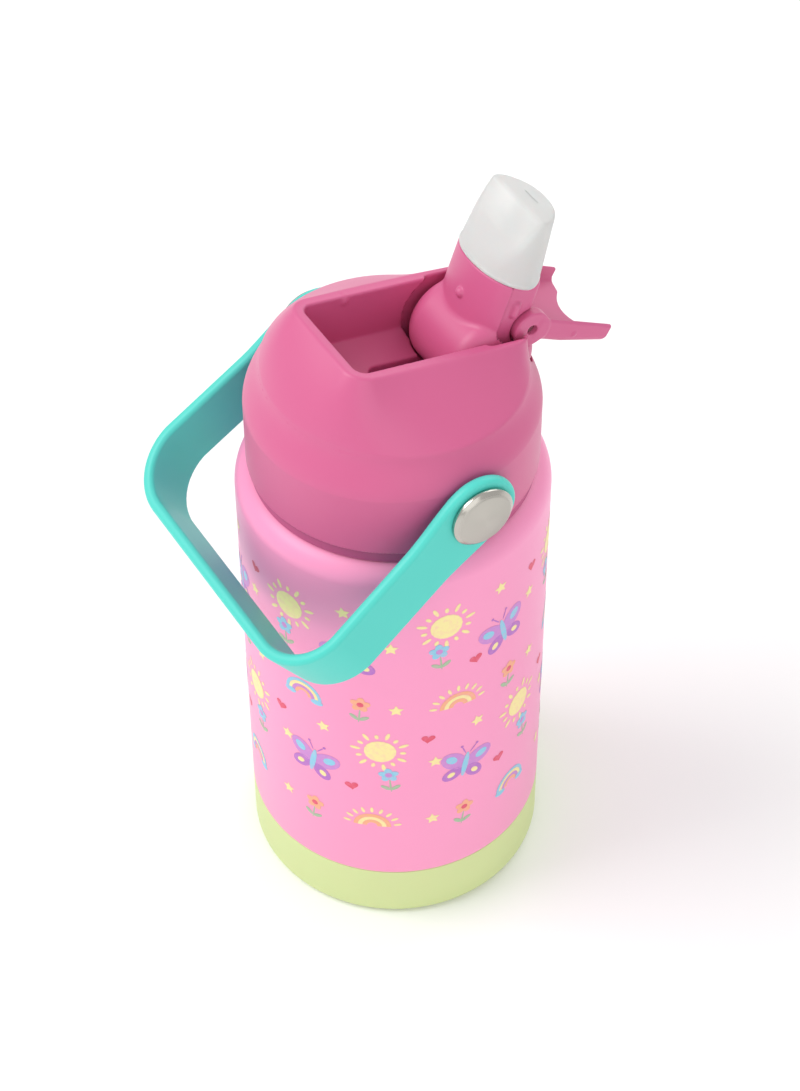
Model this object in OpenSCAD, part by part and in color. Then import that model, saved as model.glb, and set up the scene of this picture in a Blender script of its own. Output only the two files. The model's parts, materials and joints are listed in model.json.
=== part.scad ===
// Insulated children's water bottle with a flip-up spout and a swing handle.
// Origin at the centre of the base, +Z up, the drinker stands on the -Y side.

/* [Bottle] */
// Outer radius of the steel body
body_r = 36.5; // [36:0.5:46]
// Height of the shoulder that the lid sits down to
seat_z = 127.6; // [100:0.2:200]
// Radius of the rounded shoulder
shoulder_r = 5.6; // [3:0.1:7]
// Outer radius of the neck
neck_r = 27.8; // [27:0.1:30]
// Height of the neck above the shoulder
neck_h = 5.9; // [5:0.1:9]
// Sheet thickness of the outer shell and of the inner flask
steel_t = 0.6; // [0.5:0.1:1.2]
// Vacuum gap between the two steel walls
vacuum_gap = 2.5; // [2:0.1:5]
// Height of the straight neck bore that the plug screws into
neck_bore_h = 20; // [18:0.5:30]
// Height of the silicone boot
boot_h = 17.2; // [10:0.1:30]
// Thickness of the silicone boot
boot_t = 1.8; // [1.2:0.1:3]
// Radius of the rounded bottom edge
base_round = 2.6; // [1.6:0.1:5]

/* [Thread] */
// Pitch of the screw thread
thread_pitch = 4; // [3:0.1:5]
// Turns of thread that engage
thread_turns = 1.5; // [1:0.25:2]
// Height of a thread ridge above its wall
thread_h = 1.4; // [1:0.1:1.8]
// Width of a thread ridge at its crest
thread_w = 0.8; // [0.5:0.1:1.2]
// Radial gap between the plug wall and the neck bore
thread_gap = 2; // [1.8:0.1:2.4]

/* [Lid] */
// Step from the body radius in to the lid skirt
lid_step = 2.9; // [2:0.1:5]
// Height of the recessed collar that shows under the skirt
collar_h = 3.6; // [2:0.1:6]
// Height of the crease between skirt and dome, above the shoulder
crease_h = 33.4; // [32:0.1:45]
// Wall thickness of the lid mouldings
lid_t = 2.2; // [1.6:0.1:3]
// Draft of the skirt from bottom to crease
skirt_draft = 0.6; // [0:0.1:1.5]
// Slope of the rim round the trough, falling to the back
rim_tilt = 12; // [5:0.5:15]
// Width of the rim round the trough
rim_w = 3; // [2:0.1:5]
// Radius of the trough's front corners, seen from above
trough_corner = 4; // [2:0.5:7]
// Depth of the screw plug below the shoulder
plug_depth = 13.6; // [10:0.1:17]

/* [Spout] */
// Radius of the drum that the spout turns on
drum_r = 11; // [9:0.1:13]
// Half length of the drum
drum_half = 12; // [10:0.1:15]
// Radius of the drum's rounded ends
drum_round = 8; // [4:0.1:9]
// Height of the drum axis above the shoulder
pivot_h = 27.2; // [26:0.1:34]
// Wall between the drum and the back of the lid
back_wall = 1.6; // [1.4:0.1:4]
// Distance from the drum axis to the rim plane
rim_over = 9.1; // [8:0.1:11]
// Lean of the raised spout towards the back
spout_lean = 20; // [10:1:30]
// Half width of the oval neck
spout_rx = 11.9; // [10:0.1:13]
// Half depth of the oval neck
spout_ry = 8; // [6:0.1:9]
// Distance from the drum axis to the top of the neck
spout_len = 21.1; // [18:0.1:26]
// Length of the silicone mouthpiece at its front
mouth_len = 16.6; // [12:0.1:22]
// Width of the mouthpiece tip as a fraction of its base
mouth_taper = 0.85; // [0.7:0.01:1]
// Bore of the drinking channel
channel_r = 3; // [2:0.1:3.5]
// Radius of the axles that carry the drum
axle_r = 3; // [2:0.1:4]

/* [Spout cover] */
// Distance of the cover hinge up the neck from the drum axis
hinge_up = 10; // [8:0.1:14]
// Distance of the cover hinge behind the neck's axis
hinge_back = 5.4; // [4:0.1:7]
// Length of the cover from its hinge
cover_len = 24.6; // [20:0.1:30]
// Thickness of the cover plate
cover_t = 1.4; // [1:0.1:2]
// Angle that the cover folds back from the spout
cover_open = 100; // [80:1:110]
// Radius of the hinge ears
ear_r = 4.5; // [3.5:0.1:5]
// Radius of the hinge pins
pin_r = 1.2; // [0.8:0.1:1.6]

/* [Handle] */
// Height of the handle rivets above the shoulder
rivet_h = 14.1; // [13:0.1:18]
// Radius of the rivet heads
rivet_r = 7.6; // [6:0.1:9]
// Thickness of the rivet heads
rivet_t = 2.3; // [1.5:0.1:3]
// Radius of the rivet shanks
shank_r = 3.5; // [2.5:0.1:4]
// Thickness of the strap
strap_t = 3.4; // [2.5:0.1:5]
// Gap between the lid skirt and the handle's arms
arm_gap = 0.6; // [0.4:0.1:1.5]
// Length over which the strap narrows from its eyes to the band
eye_taper = 18; // [12:1:30]
// Width of the strap at the grip
strap_w = 15.5; // [10:0.1:20]
// Radius of the strap's round eyes
eye_r = 9.4; // [9:0.1:12]
// Reach from the rivets to the outside of the grip
handle_reach = 56.2; // [52:0.1:70]
// Radius of the strap's bends, measured outside
bend_r = 15; // [8:0.5:20]
// Angle of the hanging handle, forward from straight down
handle_tilt = 55; // [50:0.5:70]

/* [Straw] */
// Outer radius of the straw
straw_r = 4; // [3.6:0.1:5]
// Wall thickness of the straw
straw_t = 0.9; // [0.6:0.1:1.2]
// Gap between the straw's foot and the flask's bottom
straw_foot = 5; // [3:0.5:12]

/* [Fits] */
// Running clearance on a radius
run_fit = 0.05; // [0.03:0.01:0.09]
// Gap between parts that move past each other
move_gap = 0.4; // [0.3:0.05:0.6]
// Overlap of a moulded ridge with the wall it is part of
root_sink = 0.1; // [0.05:0.05:0.2]

/* [Hidden] */
$fn = 64;
eps = 0.01;
far = 200;

// Steel walls
boot_r = body_r - boot_t;
neck_top = seat_z + neck_h;
flask_r = body_r - steel_t - max(vacuum_gap, boot_t + 0.7);
bore_r = neck_r - 2 * steel_t - steel_t;
bore_bottom = neck_top - neck_bore_h;
plate_t = 1.2;
foot_gap = 1.5;
flask_bottom = foot_gap + plate_t + 2 * vacuum_gap;
flask_floor = flask_bottom + steel_t;
flask_shoulder = 7;
foot_round = 8;
lip_t = 0.8;
straw_cut = 30;

// Thread: both ridges follow one helix, half a pitch apart
plug_r = bore_r - thread_gap;
thread_low = neck_top - 4 - thread_pitch * thread_turns;
thread_steps = 24;

// Lid
lid_r = body_r - lid_step;
crease_r = lid_r - skirt_draft;
skirt_z = seat_z + collar_h;
crease_z = seat_z + crease_h;
gasket_t = 1.6;
flange_t = 1.6;
seal_gap = 0.1;
flange_z = neck_top + seal_gap + gasket_t;
collar_r = lid_r - 0.8;
collar_z = seat_z + move_gap;
liner_r = lid_r - lid_t - 0.2;

// Spout, drum and trough
pivot_y = lid_r - 0.5 - back_wall - drum_r;
pivot_z = seat_z + pivot_h;
flip_deg = spout_lean + 90 - rim_tilt;
tip_reach = spout_len + mouth_len;
trough_half = drum_half + move_gap + 0.1;
trough_front = tip_reach + 1.2;
trough_ry = spout_ry + move_gap;
trough_back = 3;
notch_z = pivot_z - 1;
port_angle = 36;
port_y = pivot_y - drum_r * sin(port_angle);
port_z = pivot_z - drum_r * cos(port_angle);
seal_r = 5.2;
seam_front = 3.3;
back_half = spout_rx - 1.5;
axle_end = trough_half + 2.9;
axle_in = 8;
boss_r = axle_r + 2.5;
bump_up = 13.2;
bump_r = 1.3;
oval_n = 48;

// Cover, in its closed place on the spout
cover_half = trough_half - 0.5;
ear_in = 9.2;
plate_q = spout_ry - hinge_back + move_gap;
tip_q = spout_ry * mouth_taper - hinge_back + move_gap;
cheek_t = 1.1;
cheek_q = -1.5;
// The plate starts where it clears the neck at every angle up to the open one
plate_p = 0.1 + max(plate_q * tan(cover_open / 2),
    (plate_q - (plate_q + cover_t) * cos(cover_open)) / sin(cover_open));

// Handle
rivet_z = seat_z + rivet_h;
arm_in = lid_r + arm_gap;
grip_in = body_r + move_gap;
arm_out = arm_in + strap_t;
grip_out = max(grip_in - 0.8, arm_in) + strap_t;
bush_r = shank_r + 1.4;
// The arms splay from a little below the rivets, so the heads stand clear of the eyes
flare_from = 2;
head_gap = 0.4;
tail_in = lid_r - lid_t - 3;
tail_r = 4.4;

// Helper shapes

// Points of an arc from angle a to angle b
function arc(c, r, a, b, n = 8) = [for (i = [0:n]) let (t = a + (b - a) * i / n)
    [c[0] + r * cos(t), c[1] + r * sin(t)]];

// Outline of an oval
function oval(rx, ry) = [for (i = [0:oval_n - 1]) let (t = 360 * i / oval_n)
    [rx * cos(t), ry * sin(t)]];

// Ring round Z
module ring(r_out, r_in, z0, z1) {
    rotate_extrude() translate([r_in, z0]) square([r_out - r_in, z1 - z0]);
}

// Cylinder along X
module rod_x(r, x0, x1) {
    translate([x0, 0, 0]) rotate([0, 90, 0]) cylinder(r = r, h = x1 - x0);
}

// Copies a child on both sides of the YZ plane
module both_sides() {
    children();
    mirror([1, 0, 0]) children();
}

// Raised spout's frame: origin on the drum axis, +Z up the neck
module spout_frame() {
    translate([0, pivot_y, pivot_z]) rotate([-spout_lean, 0, 0]) children();
}

// Deck frame: origin on the drum axis, -Y along the folded spout, +Z out of the rim plane
module deck_frame() {
    translate([0, pivot_y, pivot_z]) rotate([-rim_tilt, 0, 0]) children();
}

// Cover's frame at its open angle: origin on the hinge, +Z along the cover, +Y outwards
module cover_frame() {
    spout_frame() translate([0, hinge_back, hinge_up]) rotate([-cover_open, 0, 0]) children();
}

// Handle's frame: origin between the rivets, -Z along the arms, -Y out of the hanging face
module handle_frame() {
    translate([0, 0, rivet_z]) rotate([-handle_tilt, 0, 0]) children();
}

// Helical ridge on a wall of radius r, standing out (side 1) or in (side -1)
module helix_ridge(r, side, z0) {
    n = round(thread_steps * thread_turns);
    half_root = thread_w / 2 + thread_h * 0.3;
    sections = [for (i = [0:n]) let (a = 360 * i / thread_steps, z = z0 + thread_pitch * i / thread_steps,
        h = thread_h * min(1, 0.15 + min(i, n - i) / 3))
        for (p = [[-root_sink, -half_root], [h, -thread_w / 2], [h, thread_w / 2], [-root_sink, half_root]])
            [(r + side * p[0]) * cos(a), (r + side * p[0]) * sin(a), z + p[1]]];
    ends = [[0, 1, 2, 3], [4 * n + 3, 4 * n + 2, 4 * n + 1, 4 * n]];
    walls = [for (i = [0:n - 1], k = [0:3]) let (a = 4 * i + k, b = 4 * i + (k + 1) % 4)
        [a, a + 4, b + 4, b]];
    faces = concat(ends, walls);
    polyhedron(sections, side > 0 ? faces : [for (f = faces) [for (k = [len(f) - 1:-1:0]) f[k]]], convexity = 8);
}

// Drum with round ends, grown by g, as a solid of revolution round X
module drum(g) {
    core = drum_r - drum_round;
    rotate([0, 90, 0]) rotate_extrude() polygon(concat(
        [[0, -drum_half - g], [core, -drum_half - g]],
        arc([core, drum_round - drum_half], drum_round + g, -90, 0, 10),
        arc([core, drum_half - drum_round], drum_round + g, 0, 90, 10),
        [[0, drum_half + g]]));
}

// Trough outline on the rim plane, grown by g: straight sides with round front corners
module trough_plan(g) {
    half = trough_half + g;
    front = -trough_front - g;
    c = trough_corner + g;
    polygon(concat([[half, trough_back], [-half, trough_back]],
        arc([c - half, front + c], c, 180, 270), arc([half - c, front + c], c, 270, 360)));
}

// Trough cross-section, grown by g: an oval channel open to the top, wider than the plan up there
module trough_section(g) {
    half = trough_half + g;
    polygon(concat([[half, 0], [half + 1, 0], [half + 1, 30], [-half - 1, 30], [-half - 1, 0]],
        [for (i = [0:23]) let (t = 180 + 180 * i / 24) [half * cos(t), (trough_ry + g) * sin(t)]]));
}

// Trough space, grown by g
module trough(g) {
    deck_frame() intersection() {
        translate([0, 0, -30]) linear_extrude(60) trough_plan(g);
        translate([0, trough_back, 0]) rotate([90, 0, 0]) linear_extrude(far) trough_section(g);
    }
}

// Dome between the crease circle and the tilted rim, drawn in by g and sunk a little into the skirt
module dome(g) {
    hull() {
        translate([0, 0, crease_z - g - 0.2]) cylinder(r = crease_r - g - 0.1, h = eps, $fn = 64);
        deck_frame() translate([0, 0, rim_over - g - eps]) linear_extrude(eps) trough_plan(rim_w - g);
    }
}

// Space that the raised neck and the open cover need at the back of the lid
module back_notch() {
    translate([-trough_half - 0.1, pivot_y, notch_z]) cube([2 * trough_half + 0.2, far, far]);
}

// Drinking channel: up the neck, and down from the drum axis to the port
module channel(r) {
    spout_frame() cylinder(r = r, h = far);
    translate([0, pivot_y, pivot_z]) sphere(r = 1.2 * r);
    translate([0, pivot_y, pivot_z]) rotate([180 - port_angle, 0, 0]) cylinder(r = r, h = far);
}

// Profile of a round-bottomed cup: radius r, foot corner c, bottom z0, top z1
function cup(r, c, z0, z1) = concat([[0, z0]], arc([r - c, z0 + c], c, -90, 0), [[r, z1]]);

// Sub-parts: steel body

module outer_shell() {
    outside = concat([[boot_r, foot_gap + base_round], [boot_r, boot_h], [body_r, boot_h]],
        arc([body_r - shoulder_r, seat_z - shoulder_r], shoulder_r, 0, 90, 10),
        [[neck_r, seat_z], [neck_r, neck_top]]);
    inside = concat([[neck_r - steel_t, neck_top], [neck_r - steel_t, seat_z - steel_t]],
        arc([body_r - shoulder_r, seat_z - shoulder_r], shoulder_r - steel_t, 90, 0, 10),
        [[body_r - steel_t, boot_h + 2], [boot_r - steel_t, boot_h], [boot_r - steel_t, foot_gap + base_round]]);
    color("hotpink") rotate_extrude() polygon(concat(outside, inside));
}

module inner_flask() {
    wall_top = bore_bottom - flask_shoulder;
    outside = concat(cup(flask_r, foot_round, flask_bottom, wall_top),
        [[bore_r + steel_t, bore_bottom], [bore_r + steel_t, neck_top - lip_t],
         [neck_r - steel_t, neck_top - lip_t], [neck_r - steel_t, neck_top]]);
    inside = [[bore_r, neck_top], [bore_r, bore_bottom - steel_t / 2], [flask_r - steel_t, wall_top - steel_t / 2]];
    floor = concat(arc([flask_r - foot_round, flask_bottom + foot_round], foot_round - steel_t, 0, -90),
        [[0, flask_floor]]);
    color("silver") rotate_extrude() polygon(concat(outside, inside, floor));
}

module base_plate() {
    r = boot_r - steel_t;
    color("lightgray") rotate_extrude() polygon([[0, foot_gap + plate_t], [4, foot_gap + plate_t],
        [r - 4, foot_gap + plate_t], [r - 4, foot_gap + base_round], [r, foot_gap + base_round],
        [r, foot_gap + base_round + plate_t], [r - 4 - plate_t, foot_gap + base_round + plate_t],
        [r - 4 - plate_t, foot_gap + 2 * plate_t], [4, foot_gap + 2 * plate_t], [0, foot_gap + 2 * plate_t + 0.6]]);
}

module silicone_boot() {
    foot_r = boot_r - 5;
    outside = concat(arc([body_r - base_round, base_round], base_round, -90, 0),
        [[body_r, boot_h - 0.4], [body_r - 0.4, boot_h], [boot_r, boot_h]]);
    inside = [[boot_r, foot_gap + base_round], [boot_r - steel_t - 0.5, foot_gap + base_round],
        [foot_r, foot_gap], [foot_r, 0]];
    color("palegoldenrod") rotate_extrude() polygon(concat(outside, inside));
}

module neck_thread() {
    color("silver") helix_ridge(bore_r, -1, thread_low);
}

// Sub-parts: lid

module lid_gasket() {
    color("white") ring(neck_r - 0.2, bore_r - 0.6, neck_top + seal_gap, neck_top + seal_gap + gasket_t);
}

module lid_shell() {
    color("palevioletred") difference() {
        union() {
            rotate_extrude() polygon([[lid_r, skirt_z], [crease_r, crease_z], [crease_r - 1.5 * lid_t, crease_z],
                [lid_r - lid_t, crease_z - lid_t], [lid_r - lid_t, skirt_z]]);
            difference() {
                dome(0);
                dome(lid_t);
            }
            intersection() {
                trough(lid_t);
                union() {
                    dome(0);
                    cylinder(r = crease_r - 1, h = crease_z);
                }
            }
            intersection() {
                translate([0, pivot_y, pivot_z]) drum(move_gap + back_wall - 0.5);
                cylinder(r = crease_r - 0.3, h = crease_z - 0.5);
            }
            translate([0, pivot_y, pivot_z]) both_sides() rod_x(boss_r, trough_half, axle_end + 1.2);
            both_sides() translate([0, 0, rivet_z]) rod_x(shank_r + 1.2, tail_in + 1.6, lid_r - lid_t / 2);
        }
        trough(0);
        translate([0, pivot_y, pivot_z]) drum(move_gap);
        back_notch();
        translate([0, pivot_y, pivot_z]) both_sides() rod_x(axle_r + run_fit, trough_half - 1, axle_end + 0.2);
        both_sides() translate([0, 0, rivet_z]) rod_x(shank_r, tail_in - 1, lid_r + 1);
        translate([0, port_y, seat_z]) cylinder(r = seal_r, h = pivot_h);
        slot_space(0);
    }
}

// Slot in the trough floor for the vent pad, grown by g
module slot_space(g) {
    deck_frame() translate([-6 - g, -24, -trough_ry - lid_t - 1]) cube([12 + 2 * g, 14 + g, lid_t + 4]);
}

module lid_collar() {
    color("mediumvioletred") rotate_extrude() polygon([[collar_r, collar_z], [collar_r, skirt_z - 0.3],
        [liner_r, skirt_z - 0.3], [liner_r, flange_z + flange_t], [liner_r - 1.4, flange_z + flange_t],
        [liner_r - 1.4, collar_z + 1], [collar_r - 1.2, collar_z]]);
}

module lid_plug() {
    bottom = seat_z - plug_depth;
    spigot_r = straw_r - straw_t;
    color("mediumvioletred") difference() {
        union() {
            rotate_extrude() polygon([[0, bottom], [plug_r - 1, bottom], [plug_r, bottom + 1], [plug_r, flange_z],
                [liner_r - 1.4, flange_z], [liner_r - 1.4, flange_z + flange_t],
                [plug_r - lid_t, flange_z + flange_t], [plug_r - lid_t, bottom + lid_t], [0, bottom + lid_t]]);
            translate([0, port_y, bottom]) cylinder(r = channel_r + 1.2, h = port_z - 2.5 - bottom);
            translate([0, port_y, bottom - 9]) cylinder(r = spigot_r, h = 10);
        }
        translate([0, port_y, bottom - 10]) cylinder(r = spigot_r - 0.8, h = far);
    }
}

module plug_thread() {
    color("mediumvioletred") rotate([0, 0, 180]) helix_ridge(plug_r, 1, thread_low);
}

module plug_insulation() {
    color("white") difference() {
        translate([0, 0, seat_z - plug_depth + lid_t + 0.2]) cylinder(r = plug_r - lid_t - 0.2, h = plug_depth);
        translate([0, port_y, 0]) cylinder(r = channel_r + 1.4, h = far);
    }
}

module drum_seal() {
    color("white") difference() {
        translate([0, port_y, port_z - 2.5]) cylinder(r = seal_r - 0.1, h = 8);
        translate([0, port_y, 0]) cylinder(r = channel_r - 0.6, h = far);
        translate([0, pivot_y, pivot_z]) drum(0.25);
        deck_frame() translate([-far / 2, -far / 2, -trough_ry]) cube(far);
    }
}

module vent_pad() {
    color("dimgray") difference() {
        deck_frame() translate([-5.8, -23.8, -trough_ry - lid_t - 1]) cube([11.6, 13.6, 2]);
        deck_frame() translate([0, -bump_up, -trough_ry - lid_t - 2]) cylinder(r = 0.8, h = 6);
        translate([0, port_y, 0]) cylinder(r = seal_r + 0.2, h = far);
    }
}

module straw() {
    foot = flask_floor + straw_foot;
    top = seat_z - plug_depth - 0.5;
    color("whitesmoke") difference() {
        translate([0, port_y, foot]) cylinder(r = straw_r, h = top - foot);
        translate([0, port_y, 0]) cylinder(r = straw_r - straw_t, h = far);
        translate([0, port_y, foot + straw_r * tan(straw_cut)]) rotate([straw_cut, 0, 0])
            translate([-far / 2, -far / 2, -far]) cube(far);
    }
}

module handle_rivets() {
    head_x = arm_out + head_gap;
    color("silver") both_sides() translate([0, 0, rivet_z]) rotate([0, 90, 0]) rotate_extrude() polygon(concat(
        [[0, tail_in], [shank_r, tail_in], [shank_r, head_x], [rivet_r, head_x]],
        arc([rivet_r - 1, head_x + rivet_t - 1], 1, 0, 90, 4), [[0, head_x + rivet_t]]));
}

module rivet_washers() {
    color("white") both_sides() translate([0, 0, rivet_z]) difference() {
        rod_x(tail_r, tail_in + 0.8, tail_in + 1.5);
        rod_x(shank_r + run_fit, tail_in, tail_in + 2);
    }
}

module rivet_tails() {
    color("silver") both_sides() translate([0, 0, rivet_z]) difference() {
        rod_x(tail_r, tail_in - 0.4, tail_in + 0.7);
        rod_x(shank_r, tail_in, tail_in + 2);
    }
}

// Sub-parts: spout

// Oval neck from the drum axis to its top
module neck_body() {
    spout_frame() linear_extrude(spout_len) polygon(oval(spout_rx, spout_ry));
}

// Half space in front of the seam, moved back by g
module front_of_seam(g) {
    spout_frame() translate([-far / 2, -far - seam_front + g, -far / 2]) cube(far);
}

// Room for the cover's ears beside the neck
module ear_recess() {
    spout_frame() translate([0, hinge_back, hinge_up]) both_sides() rod_x(ear_r + move_gap, ear_in - 0.3, far);
}

module spout_front() {
    color("palevioletred") difference() {
        union() {
            translate([0, pivot_y, pivot_z]) drum(0);
            intersection() {
                neck_body();
                front_of_seam(0);
            }
            spout_frame() translate([0, -spout_ry + 0.3, bump_up]) sphere(r = bump_r, $fn = 32);
        }
        difference() {
            back_shape(0.05);
            front_of_seam(0);
        }
        channel(channel_r);
        ear_recess();
        translate([0, pivot_y, pivot_z]) both_sides() rod_x(axle_r, axle_in, far);
    }
}

// Rear shell of the neck, grown by g at its foot
module back_shape(g) {
    spout_frame() intersection() {
        translate([0, 0, 3.5 - g]) linear_extrude(spout_len - 3.5 + g) polygon(oval(spout_rx, spout_ry));
        translate([-back_half - g, -seam_front, 0]) cube([2 * back_half + 2 * g, far, far]);
    }
}

module spout_back() {
    color("palevioletred") difference() {
        union() {
            back_shape(0);
            spout_frame() both_sides() translate([back_half - 0.3, -0.5, 13]) cylinder(r = 1.1, h = 4);
        }
        channel(channel_r);
        ear_recess();
        spout_frame() translate([0, hinge_back, hinge_up]) both_sides() rod_x(pin_r, ear_in - 3, far);
    }
}

module spout_axles() {
    color("silver") translate([0, pivot_y, pivot_z]) both_sides() rod_x(axle_r, axle_in, axle_end);
}

module nozzle_insert() {
    color("mediumvioletred") spout_frame() difference() {
        translate([0, 0, spout_len]) linear_extrude(8) polygon(oval(spout_rx - 2.6, spout_ry - 2.2));
        cylinder(r = channel_r, h = far);
    }
}

module mouthpiece() {
    top = mouth_len;
    color("whitesmoke") spout_frame() difference() {
        translate([0, 0, spout_len]) linear_extrude(top, scale = mouth_taper) polygon(oval(spout_rx, spout_ry));
        translate([0, 0, spout_len - eps]) linear_extrude(8.2) polygon(oval(spout_rx - 2.5, spout_ry - 2.1));
        translate([0, 0, spout_len]) cylinder(r = channel_r + 0.6, h = top - 2);
        translate([-3, -0.5, spout_len]) cube([6, 1, far]);
        translate([-far / 2, spout_ry * mouth_taper - 12, tip_reach + 0.1]) rotate([-6, 0, 0]) cube(far);
    }
}

module cover_pins() {
    color("silver") spout_frame() translate([0, hinge_back, hinge_up])
        both_sides() rod_x(pin_r, ear_in - 3, cover_half - 1.2);
}

// Sub-parts: cover

module spout_cover() {
    profile = [[plate_q, 0], [plate_q, spout_len - hinge_up], [tip_q, cover_len],
        [tip_q + cover_t, cover_len], [plate_q + cover_t, spout_len - hinge_up], [plate_q + cover_t, 0],
        [ear_r * 0.6, -ear_r * 0.75], [ear_r * 0.3, -ear_r * 0.5]];
    cheek = [[cheek_q, 2], [cheek_q, cover_len], [tip_q + cover_t, cover_len],
        [plate_q + cover_t, spout_len - hinge_up], [plate_q + cover_t, 0], [0, 0]];
    color("palevioletred") cover_frame() difference() {
        union() {
            difference() {
                translate([cover_half, 0, 0]) rotate([90, 0, -90]) linear_extrude(2 * cover_half)
                    mirror([1, 0]) polygon(profile);
                rotate([cover_open, 0, 0]) translate([0, -hinge_back, -hinge_up]) drum(move_gap);
            }
            both_sides() translate([cover_half, 0, 0]) rotate([90, 0, -90]) linear_extrude(cheek_t)
                mirror([1, 0]) polygon(cheek);
            both_sides() rod_x(ear_r, ear_in, cover_half);
            both_sides() translate([cover_half - 0.2, 0.6, 14.2]) sphere(r = 0.6, $fn = 24);
        }
        both_sides() rod_x(pin_r + run_fit, ear_in - 1, far);
        translate([0, far / 2, cover_len + 7.5]) rotate([90, 0, 0]) cylinder(r = 10.5, h = far);
        translate([0.3 - ear_in, -far / 2, plate_p - far]) cube([2 * ear_in - 0.6, far, far]);
    }
}

// Sub-parts: handle

// Outline of the U strap, drawn in by g from its outside face
function u_outline(g) = let (b = bend_r - g, x = grip_out - g, s = handle_reach - g, a = arm_out - g)
    concat([[-a, 20], [-a, -flare_from]], arc([b - x, b - s], b, 180, 270, 10), arc([x - b, b - s], b, 270, 360, 10),
        [[a, -flare_from], [a, 20]]);

// Side outline of the strap: round eyes and a straight band
module strap_side() {
    polygon(concat(arc([0, 0], eye_r, 190, 350, 16), [[strap_w / 2, eye_taper], [strap_w / 2, handle_reach + 1],
        [-strap_w / 2, handle_reach + 1], [-strap_w / 2, eye_taper]]));
}

module handle_strap() {
    color("turquoise") handle_frame() difference() {
        intersection() {
            translate([0, far / 2, 0]) rotate([90, 0, 0]) linear_extrude(far) difference() {
                polygon(u_outline(0));
                polygon(u_outline(strap_t));
            }
            translate([-far / 2, 0, 0]) rotate([90, 0, 90]) linear_extrude(far) mirror([0, 1]) strap_side();
        }
        both_sides() rod_x(bush_r, arm_in - 1, arm_out + 1);
    }
}

module handle_bushes() {
    color("white") handle_frame() both_sides() difference() {
        rod_x(bush_r, arm_in, arm_out);
        rod_x(shank_r + run_fit, arm_in - 1, arm_out + 1);
    }
}

outer_shell();
inner_flask();
base_plate();
silicone_boot();
neck_thread();
lid_gasket();
lid_shell();
lid_collar();
lid_plug();
plug_thread();
plug_insulation();
drum_seal();
vent_pad();
straw();
handle_rivets();
rivet_washers();
rivet_tails();
spout_front();
spout_back();
spout_axles();
nozzle_insert();
mouthpiece();
cover_pins();
spout_cover();
handle_strap();
handle_bushes();
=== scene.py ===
"""Finished look of an insulated children's water bottle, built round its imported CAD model.

The steel body, lid, spout, cover and strap are modelled as closed meshes in the CAD frame, each
piece rides on its CAD body, and every surface gets a procedural finish. Sizes inside this file are
millimetres; meshes are written in metres.
"""

from __future__ import annotations

import json
import logging
import math
from dataclasses import dataclass, field
from enum import Enum
from typing import Callable

import bpy
import numpy as np
from mathutils import Matrix, Vector

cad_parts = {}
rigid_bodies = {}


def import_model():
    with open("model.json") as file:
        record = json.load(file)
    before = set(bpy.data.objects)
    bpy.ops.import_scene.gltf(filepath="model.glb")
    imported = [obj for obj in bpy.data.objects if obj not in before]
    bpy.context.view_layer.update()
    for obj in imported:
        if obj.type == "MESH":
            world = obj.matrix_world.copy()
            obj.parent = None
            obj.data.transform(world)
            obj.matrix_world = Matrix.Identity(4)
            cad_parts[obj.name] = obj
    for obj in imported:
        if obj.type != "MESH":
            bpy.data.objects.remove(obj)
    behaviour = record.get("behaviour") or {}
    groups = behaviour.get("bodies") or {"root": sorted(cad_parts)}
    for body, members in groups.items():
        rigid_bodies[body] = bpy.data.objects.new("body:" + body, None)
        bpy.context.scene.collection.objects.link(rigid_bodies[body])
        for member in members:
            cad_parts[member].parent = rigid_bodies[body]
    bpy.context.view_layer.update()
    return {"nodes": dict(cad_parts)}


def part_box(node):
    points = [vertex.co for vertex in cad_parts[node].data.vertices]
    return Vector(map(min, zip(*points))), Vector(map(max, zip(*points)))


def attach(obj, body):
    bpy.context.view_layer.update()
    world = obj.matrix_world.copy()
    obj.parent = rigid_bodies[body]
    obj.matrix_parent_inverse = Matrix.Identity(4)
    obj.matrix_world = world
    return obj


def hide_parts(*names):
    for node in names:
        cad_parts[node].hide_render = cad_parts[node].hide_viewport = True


MM = 0.001
DRIFT = 18  # width of the slow colour drift in millimetres
Array = np.ndarray
Field = Callable[[Array], Array]
Piece = bpy.types.Object
Tree = bpy.types.NodeTree
Node = bpy.types.Node
Socket = bpy.types.NodeSocket
log = logging.getLogger("bottle")


# ---------------------------------------------------------------- distance fields


def soft_or(a: Array, b: Array, radius: float) -> Array:
    """Union of two fields with a round fillet of the given radius between them."""
    bend = np.hypot(np.maximum(radius - a, 0), np.maximum(radius - b, 0))
    return np.maximum(radius, np.minimum(a, b)) - bend


def soft_and(a: Array, b: Array, radius: float) -> Array:
    """Intersection of two fields with a round edge of the given radius."""
    bend = np.hypot(np.maximum(radius + a, 0), np.maximum(radius + b, 0))
    return np.minimum(-radius, np.maximum(a, b)) + bend


def soft_cut(a: Array, b: Array, radius: float) -> Array:
    """Field a with field b taken out and the new edge rounded."""
    return soft_and(a, -b, radius)


def oval(x: Array, y: Array, rx: float, ry: float) -> Array:
    """Near distance to an ellipse with half axes rx and ry."""
    k1 = np.hypot(x / rx, y / ry)
    k2 = np.hypot(x / rx ** 2, y / ry ** 2)
    return k1 * (k1 - 1) / np.maximum(k2, 1e-6)


def slab(v: Array, low: float, high: float) -> Array:
    """Distance to the layer between two planes."""
    return np.abs(v - (low + high) / 2) - (high - low) / 2


def rounded(du: Array, dv: Array, radius: float) -> Array:
    """Distance to a corner rounded by the radius, from the distances past its two inner lines."""
    return np.hypot(np.maximum(du, 0), np.maximum(dv, 0)) + np.minimum(np.maximum(du, dv), 0) - radius


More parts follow.
